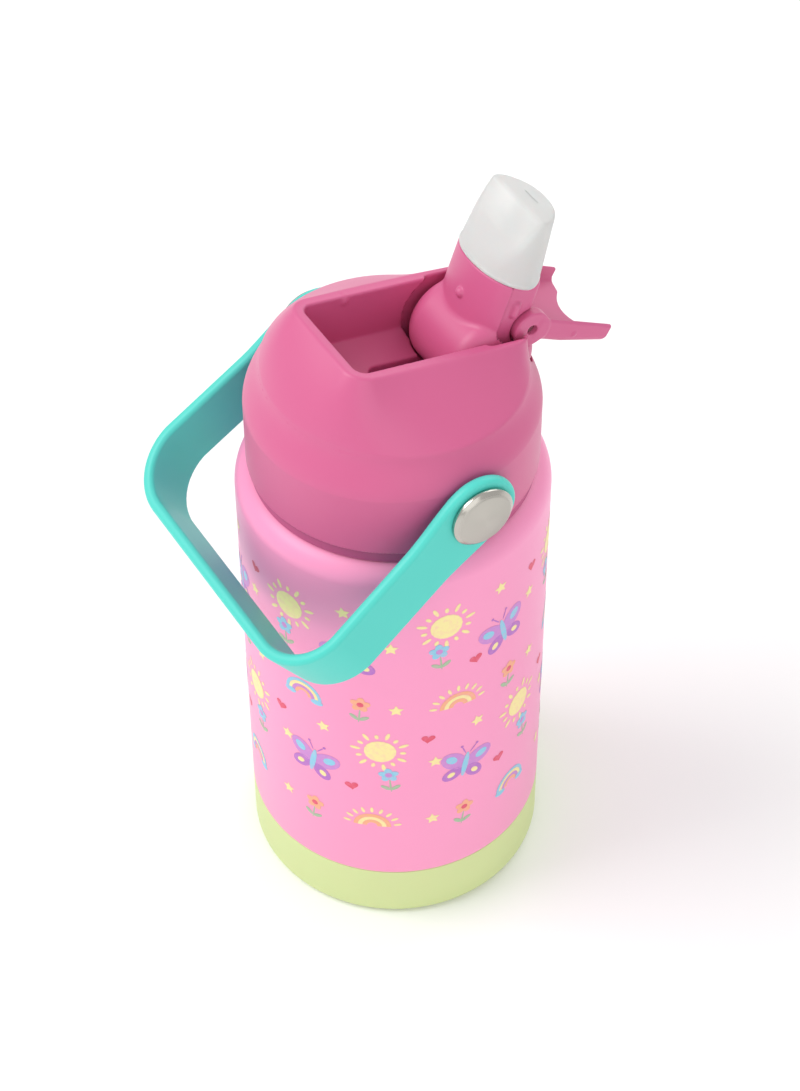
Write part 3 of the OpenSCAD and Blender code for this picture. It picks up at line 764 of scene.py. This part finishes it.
@dataclass
class Spout:
    """Drum with its oval neck in two halves, and the silicone mouthpiece."""

    at: Places
    lean: float = 20.0
    rx: float = 11.9
    ry: float = 8.0
    neck: float = 21.1
    tip: float = 37.3
    seam: float = -3.3
    face_in: float = 6.6
    rear_in: float = 0.8
    back_half: float = 10.4
    drum_r: float = 11.0
    drum_half: float = 12.0
    drum_round: float = 5.0
    root_fillet: float = 0.7
    bump_up: float = 13.2
    bump_r: float = 1.3
    ear_room: float = 4.9
    ear_in: float = 8.9
    channel_r: float = 3.0
    hinge_back: float = 5.4
    hinge_up: float = 10.0
    lug_up: float = 15.0
    lug_r: float = 1.15
    foot_up: float = 3.4
    stub_wall: float = 2.5
    stub_long: float = 8.2

    @property
    def frame(self) -> Tilt:
        """The spout's frame, on the drum's axis."""
        return Tilt(self.at.pivot_y, self.at.pivot_z, self.lean)

    def face(self, back: Array, up: Array) -> Array:
        """Leaning flat on the front of the mouthpiece."""
        lean = math.atan2(self.face_in, self.tip - self.neck)
        return -(back + self.ry) * math.cos(lean) + (up - self.neck) * math.sin(lean) - 0.1

    def column(self, x: Array, back: Array, up: Array) -> Array:
        """Oval neck from the drum's axis up to the mouthpiece."""
        return soft_and(oval(x, back, self.rx, self.ry), slab(up, -1, self.neck), 0.5)

    def cleared(self, shape: Array, x: Array, back: Array, up: Array) -> Array:
        """Cuts the ear recesses and the drinking channel."""
        hinge = np.hypot(back - self.hinge_back, up - self.hinge_up)
        ears = np.maximum(hinge - self.ear_room, self.ear_in - np.abs(x))
        shape = soft_cut(shape, ears, 0.3)
        return np.maximum(shape, self.channel_r - np.maximum(np.hypot(x, back), -up))

    def front_field(self, p: Array) -> Array:
        """Drum and the front half of the neck."""
        x, back, up = self.frame.local(p)
        drum = barrel(x, np.hypot(back, up), self.drum_half, self.drum_r, self.drum_round)
        front = soft_and(self.column(x, back, up), back - self.seam, 0.3)
        shape = soft_or(drum, front, self.root_fillet)
        bump = np.linalg.norm([x, back + self.ry - 0.3, up - self.bump_up], axis=0) - self.bump_r
        shape = soft_or(shape, bump, 0.3)
        behind = np.maximum(self.seam - back, self.foot_up - up)
        room = np.maximum(self.column(x, back, up) - 0.1, behind)
        return self.cleared(np.maximum(shape, -room), x, back, up)

    def back_field(self, p: Array) -> Array:
        """Rear half of the neck, narrower than the front, with a small lug on each side."""
        x, back, up = self.frame.local(p)
        shape = soft_and(self.column(x, back, up), np.abs(x) - self.back_half, 0.5)
        shape = soft_and(shape, self.seam + 0.12 - back, 0.3)
        lug_end = np.maximum(np.abs(up - self.lug_up) - 1.0, 0)
        lug = np.linalg.norm([np.abs(x) - self.back_half + 0.2, back + 0.5, lug_end], axis=0)
        shape = soft_or(shape, lug - self.lug_r, 0.4)
        return self.cleared(np.maximum(shape, self.foot_up + 0.1 - up), x, back, up)

    def mouth_field(self, p: Array) -> Array:
        """Mouthpiece: a tapered oval with a flat leaning face in front and a flat tip."""
        x, back, up = self.frame.local(p)
        share = np.clip((up - self.neck) / (self.tip - self.neck), -0.1, 1.1)
        wide = self.rx - self.rear_in * np.clip(back / 4, 0, 1)
        sides = oval(x, back, wide - 1.9 * share, self.ry - 1.4 * share)
        face = self.face(back, up)
        shape = soft_and(sides, face, 0.9)
        shape = soft_and(shape, up - self.tip - 0.03 * back, 0.9)
        lip = slab(up, self.neck, self.neck + 0.9)
        lip = soft_and(oval(x, back, wide + 0.05, self.ry + 0.05), lip, 0.3)
        shape = soft_or(shape, lip, 0.2)
        shape = soft_and(shape, self.neck + 0.02 - up, 0.3)
        stub = oval(x, back, self.rx - self.stub_wall, self.ry - 2.1)
        stub = np.maximum(stub, up - self.neck - self.stub_long)
        stub = np.maximum(stub, face + 1.6)
        bore = np.maximum(oval(x, back - 2.2, 2.6, 2.0), slab(up, self.neck, self.tip - 2))
        slit = np.maximum(slab(x, -2.6, 2.6), slab(back, 2.4, 2.7))
        slit = np.maximum(slit, self.tip - 4 - up)
        return np.maximum(shape, -np.minimum(np.minimum(stub, bore), slit))

    def nozzle_field(self, p: Array) -> Array:
        """Stub inside the mouthpiece that it is pulled over: an oval tube with a leaning front."""
        x, back, up = self.frame.local(p)
        sides = oval(x, back, self.rx - self.stub_wall - 0.2, self.ry - 2.3)
        shape = soft_and(sides, self.face(back, up) + 1.8, 0.5)
        shape = soft_and(shape, slab(up, self.neck + 0.05, self.neck + 8), 0.4)
        return np.maximum(shape, self.channel_r - np.hypot(x, back))

    def build(self, palette: Palette) -> None:
        """Meshes the spout's pieces and hangs them on the spout body."""
        y, z, side = self.at.pivot_y, self.at.pivot_z, self.rx + 1.5
        jobs = (("spout_drum", self.front_field, (-side, y - 13, z - 12), (side, y + 14, z + 27),
                 "abs", "spout_front", "raspberry_plastic"),
                ("spout_rear", self.back_field, (-side, y - 4, z), (side, y + 18, z + 23),
                 "abs", "spout_back", "raspberry_plastic"),
                ("mouth_silicone", self.mouth_field, (-side, y - 2, z + 14), (side, y + 24, z + 40),
                 "frost", "mouthpiece", "clear_silicone"),
                ("spout_nozzle", self.nozzle_field, (-side, y - 2, z + 14), (side, y + 22, z + 32),
                 "abs", "nozzle_insert", "raspberry_plastic"))
        for name, shape, low, high, key, node, slot in jobs:
            piece = skin(name, shape, low, high, 0.3)
            palette.dress(piece, key)
            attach(piece, "spout")
            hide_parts(node)
            log.info("made %s with %d faces", piece.name, len(piece.data.polygons))


@dataclass
class Cover:
    """Spout cover, folded back: an arched plate with cheeks, ears, prongs and a finger scallop."""

    at: Places
    lean: float = 120.0
    half: float = 12.0
    length: float = 24.1
    top_q: float = 4.4
    tip_drop: float = 1.2
    arch: float = 2.0
    plate_t: float = 1.4
    cheek_t: float = 0.9
    cheek_q: float = -3.0
    ear_r: float = 4.5
    ear_in: float = 9.2
    pin_r: float = 1.25
    start: float = 3.9
    scallop_r: float = 10.5
    scallop_depth: float = 3.0
    bump_r: float = 0.85
    bump_up: float = 13.1
    drum_room: float = 11.4

    @property
    def frame(self) -> Tilt:
        """The cover's frame, on its hinge."""
        return Tilt(self.at.hinge_y, self.at.hinge_z, self.lean)

    def field(self, p: Array) -> Array:
        """The cover as a distance field; q points outwards and up runs along it."""
        x, q, up = self.frame.local(p)
        side = np.abs(x)
        drop = self.tip_drop * np.clip((up - 11) / 13.6, 0, 1)
        top = self.top_q - drop - self.arch * (x / self.half) ** 2
        outer = soft_and(side - self.half, q - top, 1.6)
        inner = soft_and(side - self.half + self.cheek_t, q - top + self.plate_t, 1.0)
        band = soft_and(outer, slab(up, 1.0, self.length), 1.0)
        band = soft_and(band, self.cheek_q - q, 0.8)
        band = soft_and(band, -inner, 0.35)
        scallop = np.hypot(x, up - self.length - self.scallop_r + self.scallop_depth) - self.scallop_r
        band = soft_cut(band, scallop, 0.5)
        foot = np.maximum(side - 9.1, up - self.start)
        band = soft_cut(band, foot, 0.4)
        hinge = np.hypot(q, up)
        ear = soft_and(hinge - self.ear_r, slab(side, self.ear_in, self.half), 0.5)
        shape = soft_or(band, ear, 0.8)
        bump = np.linalg.norm([side - self.half + 0.5, q - 0.1, up - self.bump_up], axis=0)
        shape = soft_or(shape, bump - self.bump_r, 0.25)
        drum = np.hypot(p[:, 1] - self.at.pivot_y, p[:, 2] - self.at.pivot_z) - self.drum_room
        drum = np.maximum(drum, side - 9.0)
        shape = soft_cut(shape, drum, 0.3)
        shape = np.maximum(shape, np.minimum(q - 20, side - self.half))
        return soft_cut(shape, hinge - self.pin_r, 0.25)

    def build(self, palette: Palette) -> None:
        """Meshes the cover and hangs it on the cover body."""
        y, z = self.at.hinge_y, self.at.hinge_z
        edge = self.half + 0.8
        piece = skin("cover_shell", self.field, (-edge, y - 7, z - 13), (edge, y + 27, z + 7), 0.3)
        palette.dress(piece, "abs")
        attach(piece, "cover")
        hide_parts("spout_cover")
        log.info("made %s with %d faces", piece.name, len(piece.data.polygons))


# ---------------------------------------------------------------- handle


@dataclass
class Handle:
    """U strap that hangs on two rivets, with round eyes and soft edges."""

    at: Places
    tilt: float = 55.0
    thick: float = 2.8
    width: float = 15.5
    eye_r: float = 9.4
    arm_out: float = 36.9
    head: float = 2.0
    reach: float = 56.2
    bend: float = 15.0
    bore: float = 4.9
    edge: float = 1.2
    splay: float = 2.0
    taper: float = 18.0

    @property
    def frame(self) -> Tilt:
        """The strap's frame, on the rivets' axis."""
        return Tilt(0.0, self.at.rivet_z, self.tilt)

    def field(self, p: Array) -> Array:
        """The strap as a distance field; up runs back along the arms to the rivets."""
        x, face, up = self.frame.local(p)
        x = np.abs(x)
        t = self.thick / 2
        arm, grip = self.arm_out - t, self.at.strap_out - t
        turn = self.bend - t
        low = self.bend - self.reach
        line = np.minimum(stretch(x, up, (arm, self.eye_r), (arm, -self.splay)),
                          stretch(x, up, (arm, -self.splay), (grip, low)))
        line = np.minimum(line, stretch(x, up, (grip - turn, t - self.reach), (0, t - self.reach)))
        elbow = np.abs(np.hypot(x - grip + turn, up - low) - turn)
        elbow = np.where((x > grip - turn) & (up < low), elbow, 99)
        sheet = np.minimum(line, elbow) - t
        share = np.clip(-up / self.taper, 0, 1)
        half = self.eye_r + (self.width / 2 - self.eye_r) * (3 - 2 * share) * share ** 2
        plan = np.minimum(np.hypot(face, up) - self.eye_r, np.maximum(np.abs(face) - half, up))
        shape = soft_and(sheet, plan, self.edge)
        bore = np.maximum(np.hypot(face, up) - self.bore, 30 - x)
        return soft_cut(shape, bore, 0.3)

    def strap(self) -> Piece:
        """Meshes the strap."""
        reach = self.at.strap_out + 1
        lean = math.radians(self.tilt)
        low_y = -self.reach * math.sin(lean) - self.eye_r
        low_z = self.at.rivet_z - self.reach * math.cos(lean) - self.eye_r
        return skin("strap", self.field, (-reach, low_y, low_z), (reach, 11, self.at.rivet_z + 11), 0.5)

    def rivet(self, side: int) -> Piece:
        """Turned rivet with a spun face and a rolled edge."""
        r = self.at.rivet_r
        under = self.arm_out + 0.1
        face = under + self.head
        outline = [(0, 28.5), (3.5, 28.5), (3.5, under), (r - 0.35, under), (r, under + 0.35)]
        outline += [(r, face - 1.2)] + bow((r - 0.3, face - 1.1), 0.3, 20, 50, 3)
        outline += [(r - 1.2, face - 0.1), (r - 1.4, face), (0, face)]
        piece = turned("rivet", outline, axis="X", at=self.at.rivet_z, segments=96, side=side)
        if side < 0:
            piece.data.flip_normals()
        return piece

    def build(self, palette: Palette) -> None:
        """Makes the strap and rivets and hangs them on their bodies."""
        strap = self.strap()
        palette.dress(strap, "strap")
        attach(strap, "handle")
        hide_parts("handle_strap")
        rivets = join("rivet_heads", [self.rivet(1), self.rivet(-1)])
        palette.dress(rivets, "spun")
        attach(rivets, "lid")
        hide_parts("handle_rivets")
        log.info("made %s with %d faces and %s", strap.name, len(strap.data.polygons), rivets.name)


# ---------------------------------------------------------------- print


class Ink(Enum):
    """Screen inks of the print."""

    CREAM = "#F8E7A0"
    LILAC = "#C987CF"
    ORCHID = "#B56FC4"
    SKY = "#8CCBE4"
    PEACH = "#F7AF86"
    CORAL = "#E2506C"
    SAGE = "#A3BF9C"


class Motif(Enum):
    """Motifs of the print, in the order in which they are stored."""

    SUN = 0
    STAR = 1
    HEART = 2
    BUTTERFLY = 3
    BLUE_FLOWER = 4
    ORANGE_FLOWER = 5
    RAINBOW = 6
    SUNRISE = 7


class Stamp:
    """Collects the flat patches of ink of one motif, in millimetres round its middle."""

    def __init__(self) -> None:
        """Starts an empty stamp."""
        self.points: list[tuple] = []
        self.faces: list[list[int]] = []
        self.inks: list[Ink] = []

    def patch(self, outline: list[tuple], ink: Ink, layer: int = 0) -> None:
        """Adds one patch.

        Args:
            outline: Corner points, anticlockwise.
            ink: Its ink.
            layer: 0 for the first coat, 1 for one printed over it, and so on.
        """
        start = len(self.points)
        self.points += [(x, y, 0.012 * layer) for x, y in outline]
        self.faces.append(list(range(start, start + len(outline))))
        self.inks.append(ink)

    def disc(self, x: float, y: float, rx: float, ry: float, ink: Ink, turn: float = 0,
             layer: int = 0) -> None:
        """Adds an oval, turned by some degrees."""
        c, s = math.cos(math.radians(turn)), math.sin(math.radians(turn))
        angles = np.linspace(0, 2 * math.pi, 17)[:-1]
        rim = [(rx * math.cos(a), ry * math.sin(a)) for a in angles]
        self.patch([(x + u * c - v * s, y + u * s + v * c) for u, v in rim], ink, layer)

    def ring(self, x: float, y: float, r0: float, r1: float, start: float, end: float, ink: Ink,
             layer: int = 0) -> None:
        """Adds part of a ring between two angles, as a strip of quads."""
        steps = max(2, round(abs(end - start) / 15))
        angles = np.radians(np.linspace(start, end, steps + 1))
        for a, b in zip(angles, angles[1:]):
            self.patch([(x + r * math.cos(t), y + r * math.sin(t))
                        for r, t in ((r0, a), (r1, a), (r1, b), (r0, b))], ink, layer)

    def rays(self, r0: float, r1: float, count: int, start: float, end: float, width: float,
             ink: Ink) -> None:
        """Adds drop-shaped rays between two angles, long and short in turn."""
        for k in range(count):
            angle = start + (end - start) * (k + 0.5) / count
            long = r1 if k % 2 == 0 else r0 + (r1 - r0) * 0.6
            middle = (r0 + long) / 2
            self.disc(math.cos(math.radians(angle)) * middle, math.sin(math.radians(angle)) * middle,
                      (long - r0) / 2, width, ink, angle)

    def mesh(self, name: str) -> Piece:
        """Makes the stamp's flat mesh with its ink colours."""
        piece = to_mesh(name, np.array(self.points), self.faces)
        inks = piece.data.attributes.new("ink", "FLOAT_COLOR", "CORNER")
        colours = []
        for face, ink in zip(piece.data.polygons, self.inks):
            colours += list(linear(ink.value)) * face.loop_total
        inks.data.foreach_set("color", colours)
        return piece


def draw(motif: Motif) -> Stamp:
    """Draws one motif.

    Args:
        motif: Which one.

    Returns:
        The stamp.
    """
    stamp = Stamp()
    if motif is Motif.SUN:
        stamp.disc(0, 0, 3.9, 3.9, Ink.CREAM)
        stamp.rays(4.7, 7.3, 14, 0, 360, 0.5, Ink.CREAM)
    elif motif is Motif.STAR:
        corners = [((1.9 if k % 2 == 0 else 0.95), math.radians(90 + 36 * k)) for k in range(10)]
        stamp.patch([(r * math.cos(a), r * math.sin(a)) for r, a in corners], Ink.CREAM)
    elif motif is Motif.HEART:
        curve = np.linspace(0, 2 * math.pi, 25)[:-1]
        stamp.patch([(-1.75 * math.sin(t) ** 3, 1.6 * (13 * math.cos(t) - 5 * math.cos(2 * t)
                      - 2 * math.cos(3 * t) - math.cos(4 * t)) / 16) for t in curve], Ink.CORAL)
    elif motif is Motif.BUTTERFLY:
        for side in (1, -1):
            stamp.disc(3.4 * side, 1.9, 3.9, 2.7, Ink.LILAC, 35 * side)
            stamp.disc(2.9 * side, -2.9, 2.9, 2.0, Ink.ORCHID, -40 * side)
            stamp.disc(4.1 * side, 2.4, 1.7, 1.2, Ink.SKY, 35 * side, 1)
            stamp.disc(3.2 * side, -3.1, 1.1, 0.8, Ink.CREAM, -40 * side, 1)
            stamp.disc(1.3 * side, 5.3, 1.5, 0.18, Ink.ORCHID, 60 * side, 1)
            stamp.disc(2.1 * side, 6.7, 0.4, 0.4, Ink.ORCHID, 0, 1)
        stamp.disc(0, 0, 0.8, 4.3, Ink.SKY, 0, 2)
    elif motif in (Motif.BLUE_FLOWER, Motif.ORANGE_FLOWER):
        petal = Ink.SKY if motif is Motif.BLUE_FLOWER else Ink.PEACH
        stamp.disc(0.1, -2.2, 0.22, 2.4, Ink.SAGE)
        stamp.disc(1.3, -2.9, 1.4, 0.6, Ink.SAGE, 35)
        stamp.disc(-1.1, -2.9, 1.4, 0.6, Ink.SAGE, 145)
        for k in range(5):
            angle = math.radians(90 + 72 * k)
            stamp.disc(1.35 * math.cos(angle), 1.9 + 1.35 * math.sin(angle), 1.2, 0.95, petal,
                       90 + 72 * k, 1)
        centre = Ink.LILAC if motif is Motif.BLUE_FLOWER else Ink.CORAL
        stamp.disc(0, 1.9, 0.85, 0.85, centre, 0, 2)
    elif motif is Motif.RAINBOW:
        for k, ink in enumerate((Ink.SKY, Ink.CREAM, Ink.LILAC, Ink.PEACH)):
            stamp.ring(0, -2.4, 4.3 - 0.95 * k, 5.2 - 0.95 * k, 0, 180, ink)
        for x in (-3.8, 3.8):
            stamp.disc(x, -3.0, 1.7, 0.9, Ink.SKY, 0, 1)
    elif motif is Motif.SUNRISE:
        for k, ink in enumerate((Ink.PEACH, Ink.CREAM, Ink.PEACH)):
            stamp.ring(0, -2.4, 3.6 - 1.15 * k, 4.7 - 1.15 * k, 0, 180, ink)
        for k in range(9):
            angle = math.radians(8 + 20.5 * k)
            stamp.disc(6.3 * math.cos(angle), -2.4 + 6.3 * math.sin(angle), 1.0, 0.42, Ink.CREAM,
                       math.degrees(angle))
    return stamp


@dataclass
class Print:
    """Scattered screen print: one cell of motifs repeated round the body."""

    at: Places
    repeat: int = 6
    proud: float = 0.04
    # Motif, degrees from the front towards +X, height, turn in degrees
    cell: tuple = (
        (Motif.STAR, 40.5, 113, 10), (Motif.HEART, 59, 110.6, -12), (Motif.SUN, 18, 108, 0),
        (Motif.STAR, 57.7, 102.5, 0), (Motif.BUTTERFLY, 42.5, 97.5, 12),
        (Motif.BLUE_FLOWER, 15.6, 98, 5), (Motif.HEART, 30, 93.2, 10),
        (Motif.STAR, 59.5, 80.6, 0), (Motif.ORANGE_FLOWER, 46, 80, -5),
        (Motif.STAR, 31.4, 70.2, 15), (Motif.HEART, 11.4, 69.1, -8), (Motif.SUN, 53.4, 65.3, 8),
        (Motif.STAR, 14.3, 60, 0), (Motif.BUTTERFLY, 26.4, 55.6, -10),
        (Motif.BLUE_FLOWER, 56.8, 54.6, 5), (Motif.HEART, 42.3, 50.8, 8),
        (Motif.STAR, 13.3, 38, 5), (Motif.ORANGE_FLOWER, 26, 37, -8))
    # Arches change places from one cell to the next: a rainbow here is a sunrise there
    arches: tuple = ((23, 81, 0), (50, 38.5, 1))

    def spots(self) -> list[tuple]:
        """Every motif's place: number, degrees, height and turn."""
        out = []
        for k in range(self.repeat):
            shift = 360 / self.repeat * k
            out += [(m.value, a + shift, z, turn) for m, a, z, turn in self.cell]
            for angle, z, phase in self.arches:
                motif = Motif.RAINBOW if (k + phase) % 2 == 0 else Motif.SUNRISE
                out.append((motif.value, angle + shift, z, 0))
        return out

    def seeds(self) -> Piece:
        """Loose points on the unrolled body that carry each motif's number and turn."""
        spots = self.spots()
        places = [(self.at.body_r * math.radians(a), z, 0) for _, a, z, _ in spots]
        seeds = to_mesh("print_seeds", np.array(places), [])
        for name, kind, values in (("motif", "INT", [spot[0] for spot in spots]),
                                   ("turn", "FLOAT", [math.radians(spot[3]) for spot in spots])):
            seeds.data.attributes.new(name, kind, "POINT").data.foreach_set("value", values)
        return seeds

    def tree(self, stamps: bpy.types.Collection, ink: bpy.types.Material) -> Tree:
        """Node tree that stamps the motifs on the unrolled points and wraps them round the body.

        Args:
            stamps: Collection of the motifs' flat meshes, in the order of Motif.
            ink: The ink's material.

        Returns:
            The tree, with inputs for the points, the body's radius and the ink's height over it.
        """
        tree = bpy.data.node_groups.new("print_wrap", "GeometryNodeTree")
        sockets = tree.interface
        sockets.new_socket("Points", in_out="INPUT", socket_type="NodeSocketGeometry")
        sockets.new_socket("Body radius", in_out="INPUT", socket_type="NodeSocketFloat")
        sockets.new_socket("Ink height", in_out="INPUT", socket_type="NodeSocketFloat")
        sockets.new_socket("Print", in_out="OUTPUT", socket_type="NodeSocketGeometry")
        given = add(tree, "NodeGroupInput")
        stock = add(tree, "GeometryNodeCollectionInfo", {"Collection": stamps,
                                                         "Separate Children": True})
        number = add(tree, "GeometryNodeInputNamedAttribute", {"Name": "motif"}, data_type="INT")
        turn = add(tree, "GeometryNodeInputNamedAttribute", {"Name": "turn"}, data_type="FLOAT")
        spin = add(tree, "ShaderNodeCombineXYZ", {"Z": turn.outputs[0]})
        placed = add(tree, "GeometryNodeInstanceOnPoints", {
            "Points": given.outputs["Points"], "Instance": stock.outputs[0], "Pick Instance": True,
            "Instance Index": number.outputs[0], "Rotation": spin.outputs["Vector"]})
        flat = add(tree, "GeometryNodeRealizeInstances", {"Geometry": placed.outputs["Instances"]})
        fine = add(tree, "GeometryNodeSubdivideMesh", {"Mesh": flat.outputs["Geometry"], "Level": 2})
        at = add(tree, "GeometryNodeInputPosition")
        split = add(tree, "ShaderNodeSeparateXYZ", {"Vector": at.outputs["Position"]})
        radius = given.outputs["Body radius"]
        angle = calc(tree, "DIVIDE", split.outputs["X"], radius)
        lift = calc(tree, "ADD", radius, given.outputs["Ink height"])
        reach = calc(tree, "ADD", lift, split.outputs["Z"])
        x = calc(tree, "MULTIPLY", calc(tree, "SINE", angle), reach)
        back = calc(tree, "MULTIPLY", calc(tree, "COSINE", angle), reach)
        front = calc(tree, "MULTIPLY", back, -1.0)
        wrapped = add(tree, "ShaderNodeCombineXYZ", {"X": x, "Y": front, "Z": split.outputs["Y"]})
        bent = add(tree, "GeometryNodeSetPosition", {"Geometry": fine.outputs["Mesh"],
                                                     "Position": wrapped.outputs["Vector"]})
        inked = add(tree, "GeometryNodeSetMaterial", {"Geometry": bent.outputs["Geometry"],
                                                      "Material": ink})
        add(tree, "NodeGroupOutput", {"Print": inked.outputs["Geometry"]})
        return tree

    def build(self, palette: Palette) -> None:
        """Prints the motifs and hangs them on the bottle."""
        stamps = bpy.data.collections.new("stamps")
        for motif in Motif:
            piece = draw(motif).mesh(f"stamp_{motif.value}_{motif.name.lower()}")
            bpy.context.scene.collection.objects.unlink(piece)
            stamps.objects.link(piece)
        seeds = self.seeds()
        modifier = seeds.modifiers.new("wrap", "NODES")
        tree = self.tree(stamps, palette.made["ink"])
        modifier.node_group = tree
        names = {item.name: item.identifier for item in tree.interface.items_tree}
        modifier[names["Body radius"]] = self.at.body_r * MM
        modifier[names["Ink height"]] = self.proud * MM
        evaluated = seeds.evaluated_get(bpy.context.evaluated_depsgraph_get())
        mesh = bpy.data.meshes.new_from_object(evaluated)
        seeds.modifiers.remove(modifier)
        bpy.data.objects.remove(seeds)
        for piece in list(stamps.objects):
            bpy.data.objects.remove(piece)
        bpy.data.collections.remove(stamps)
        mesh.name = "body_print"
        piece = bpy.data.objects.new("body_print", mesh)
        bpy.context.scene.collection.objects.link(piece)
        palette.dress(piece, "ink")
        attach(piece, "bottle")
        log.info("made %s with %d faces", piece.name, len(mesh.polygons))


# ---------------------------------------------------------------- inner pieces


CARRIED = {
    "inner_flask": "steel", "base_plate": "steel", "neck_thread": "steel", "lid_gasket": "white",
    # lid_collar, lid_plug and plug_thread take the darker ABS as painted shade
    "lid_collar": "abs_painted_shade", "lid_plug": "abs_painted_shade", "plug_thread": "abs_painted_shade",
    "plug_insulation": "white", "drum_seal": "plum", "vent_pad": "plum", "straw": "white",
    "rivet_washers": "white", "rivet_tails": "steel", "spout_axles": "steel", "cover_pins": "steel",
    "handle_bushes": "white",
}


def dress_carried(frame: dict, palette: Palette) -> None:
    """Gives the CAD nodes that stay in view or inside their finishes."""
    for node, key in CARRIED.items():
        palette.dress(frame["nodes"][node], key)
    log.info("dressed %d carried nodes", len(CARRIED))


# ---------------------------------------------------------------- studio


@dataclass
class Studio:
    """Plain pale floor, soft lights and the camera."""

    azimuth: float = 59.0
    elevation: float = 47.23
    distance: float = 654.0
    target_z: float = 97.8
    focal: float = 91.17
    roll: float = -0.42
    shift: float = 0.00593
    sky: float = 0.70
    lamps: tuple = (("key", (-0.5, -1.0, 1.5), 1.0, 16), ("fill", (1.5, -0.4, 0.9), 1.4, 5),
                    ("back", (-0.6, 1.2, 1.0), 1.0, 5))

    def camera(self) -> None:
        """Places the camera and makes it the scene's."""
        az, el = math.radians(self.azimuth), math.radians(self.elevation)
        out = Vector((math.sin(az) * math.cos(el), -math.cos(az) * math.cos(el), math.sin(el)))
        camera = bpy.data.cameras.new("camera")
        camera.lens = self.focal
        camera.sensor_width = 36.0
        camera.shift_x = self.shift
        camera.clip_end = 10.0
        holder = bpy.data.objects.new("camera", camera)
        bpy.context.scene.collection.objects.link(holder)
        turn = out.to_track_quat("Z", "Y").to_matrix() @ Matrix.Rotation(math.radians(self.roll), 3, "Z")
        place = (Vector((0, 0, self.target_z)) + out * self.distance) * MM
        holder.matrix_world = Matrix.Translation(place) @ turn.to_4x4()
        bpy.context.scene.camera = holder

    def floor(self) -> None:
        """Lays a wide pale floor."""
        half = 3000.0
        corners = np.array([(-half, -half, 0), (half, -half, 0), (half, half, 0), (-half, half, 0)])
        floor = to_mesh("floor", corners, [[0, 1, 2, 3]])
        material = Finish("matt_white_paint", Tone.FLOOR, 0.9, 1.4, 3.0, 0.0, 0.0, 0.02).material()
        floor.data.materials.append(material)

    def light(self, name: str, place: tuple, size: float, watts: float) -> None:
        """Adds a soft square light that looks at the bottle."""
        lamp = bpy.data.lights.new(name, "AREA")
        lamp.size = size
        lamp.energy = watts
        holder = bpy.data.objects.new(name, lamp)
        bpy.context.scene.collection.objects.link(holder)
        holder.location = Vector(place)
        aim = Vector(place) - Vector((0, 0, 0.1))
        holder.rotation_euler = aim.to_track_quat("Z", "Y").to_euler()

    def build(self) -> None:
        """Sets up the whole studio."""
        self.camera()
        self.floor()
        bpy.context.scene.view_settings.view_transform = "Standard"
        world = bpy.data.worlds.new("studio")
        bpy.context.scene.world = world
        world.use_nodes = True
        sky = world.node_tree.nodes["Background"].inputs
        sky["Color"].default_value = (1, 1, 1, 1)
        sky["Strength"].default_value = self.sky
        for name, place, size, watts in self.lamps:
            self.light(name, place, size, watts)
        log.info("studio ready")


# ---------------------------------------------------------------- main


def corners(box: tuple) -> list[list[float]]:
    """A box's two corners as plain lists."""
    return [[float(v) for v in corner] for corner in box]


def main() -> None:
    """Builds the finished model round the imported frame."""
    logging.basicConfig(level=logging.INFO, format="%(name)s: %(message)s")
    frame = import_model()
    at = Places.read()
    palette = Palette()
    palette.build(at.rivet_z)
    dress_carried(frame, palette)
    SteelBody(at).build(palette)
    Print(at).build(palette)
    Lid(at).build(palette)
    Spout(at).build(palette)
    Cover(at).build(palette)
    Handle(at).build(palette)
    Studio().build()


if __name__ == "__main__":
    main()
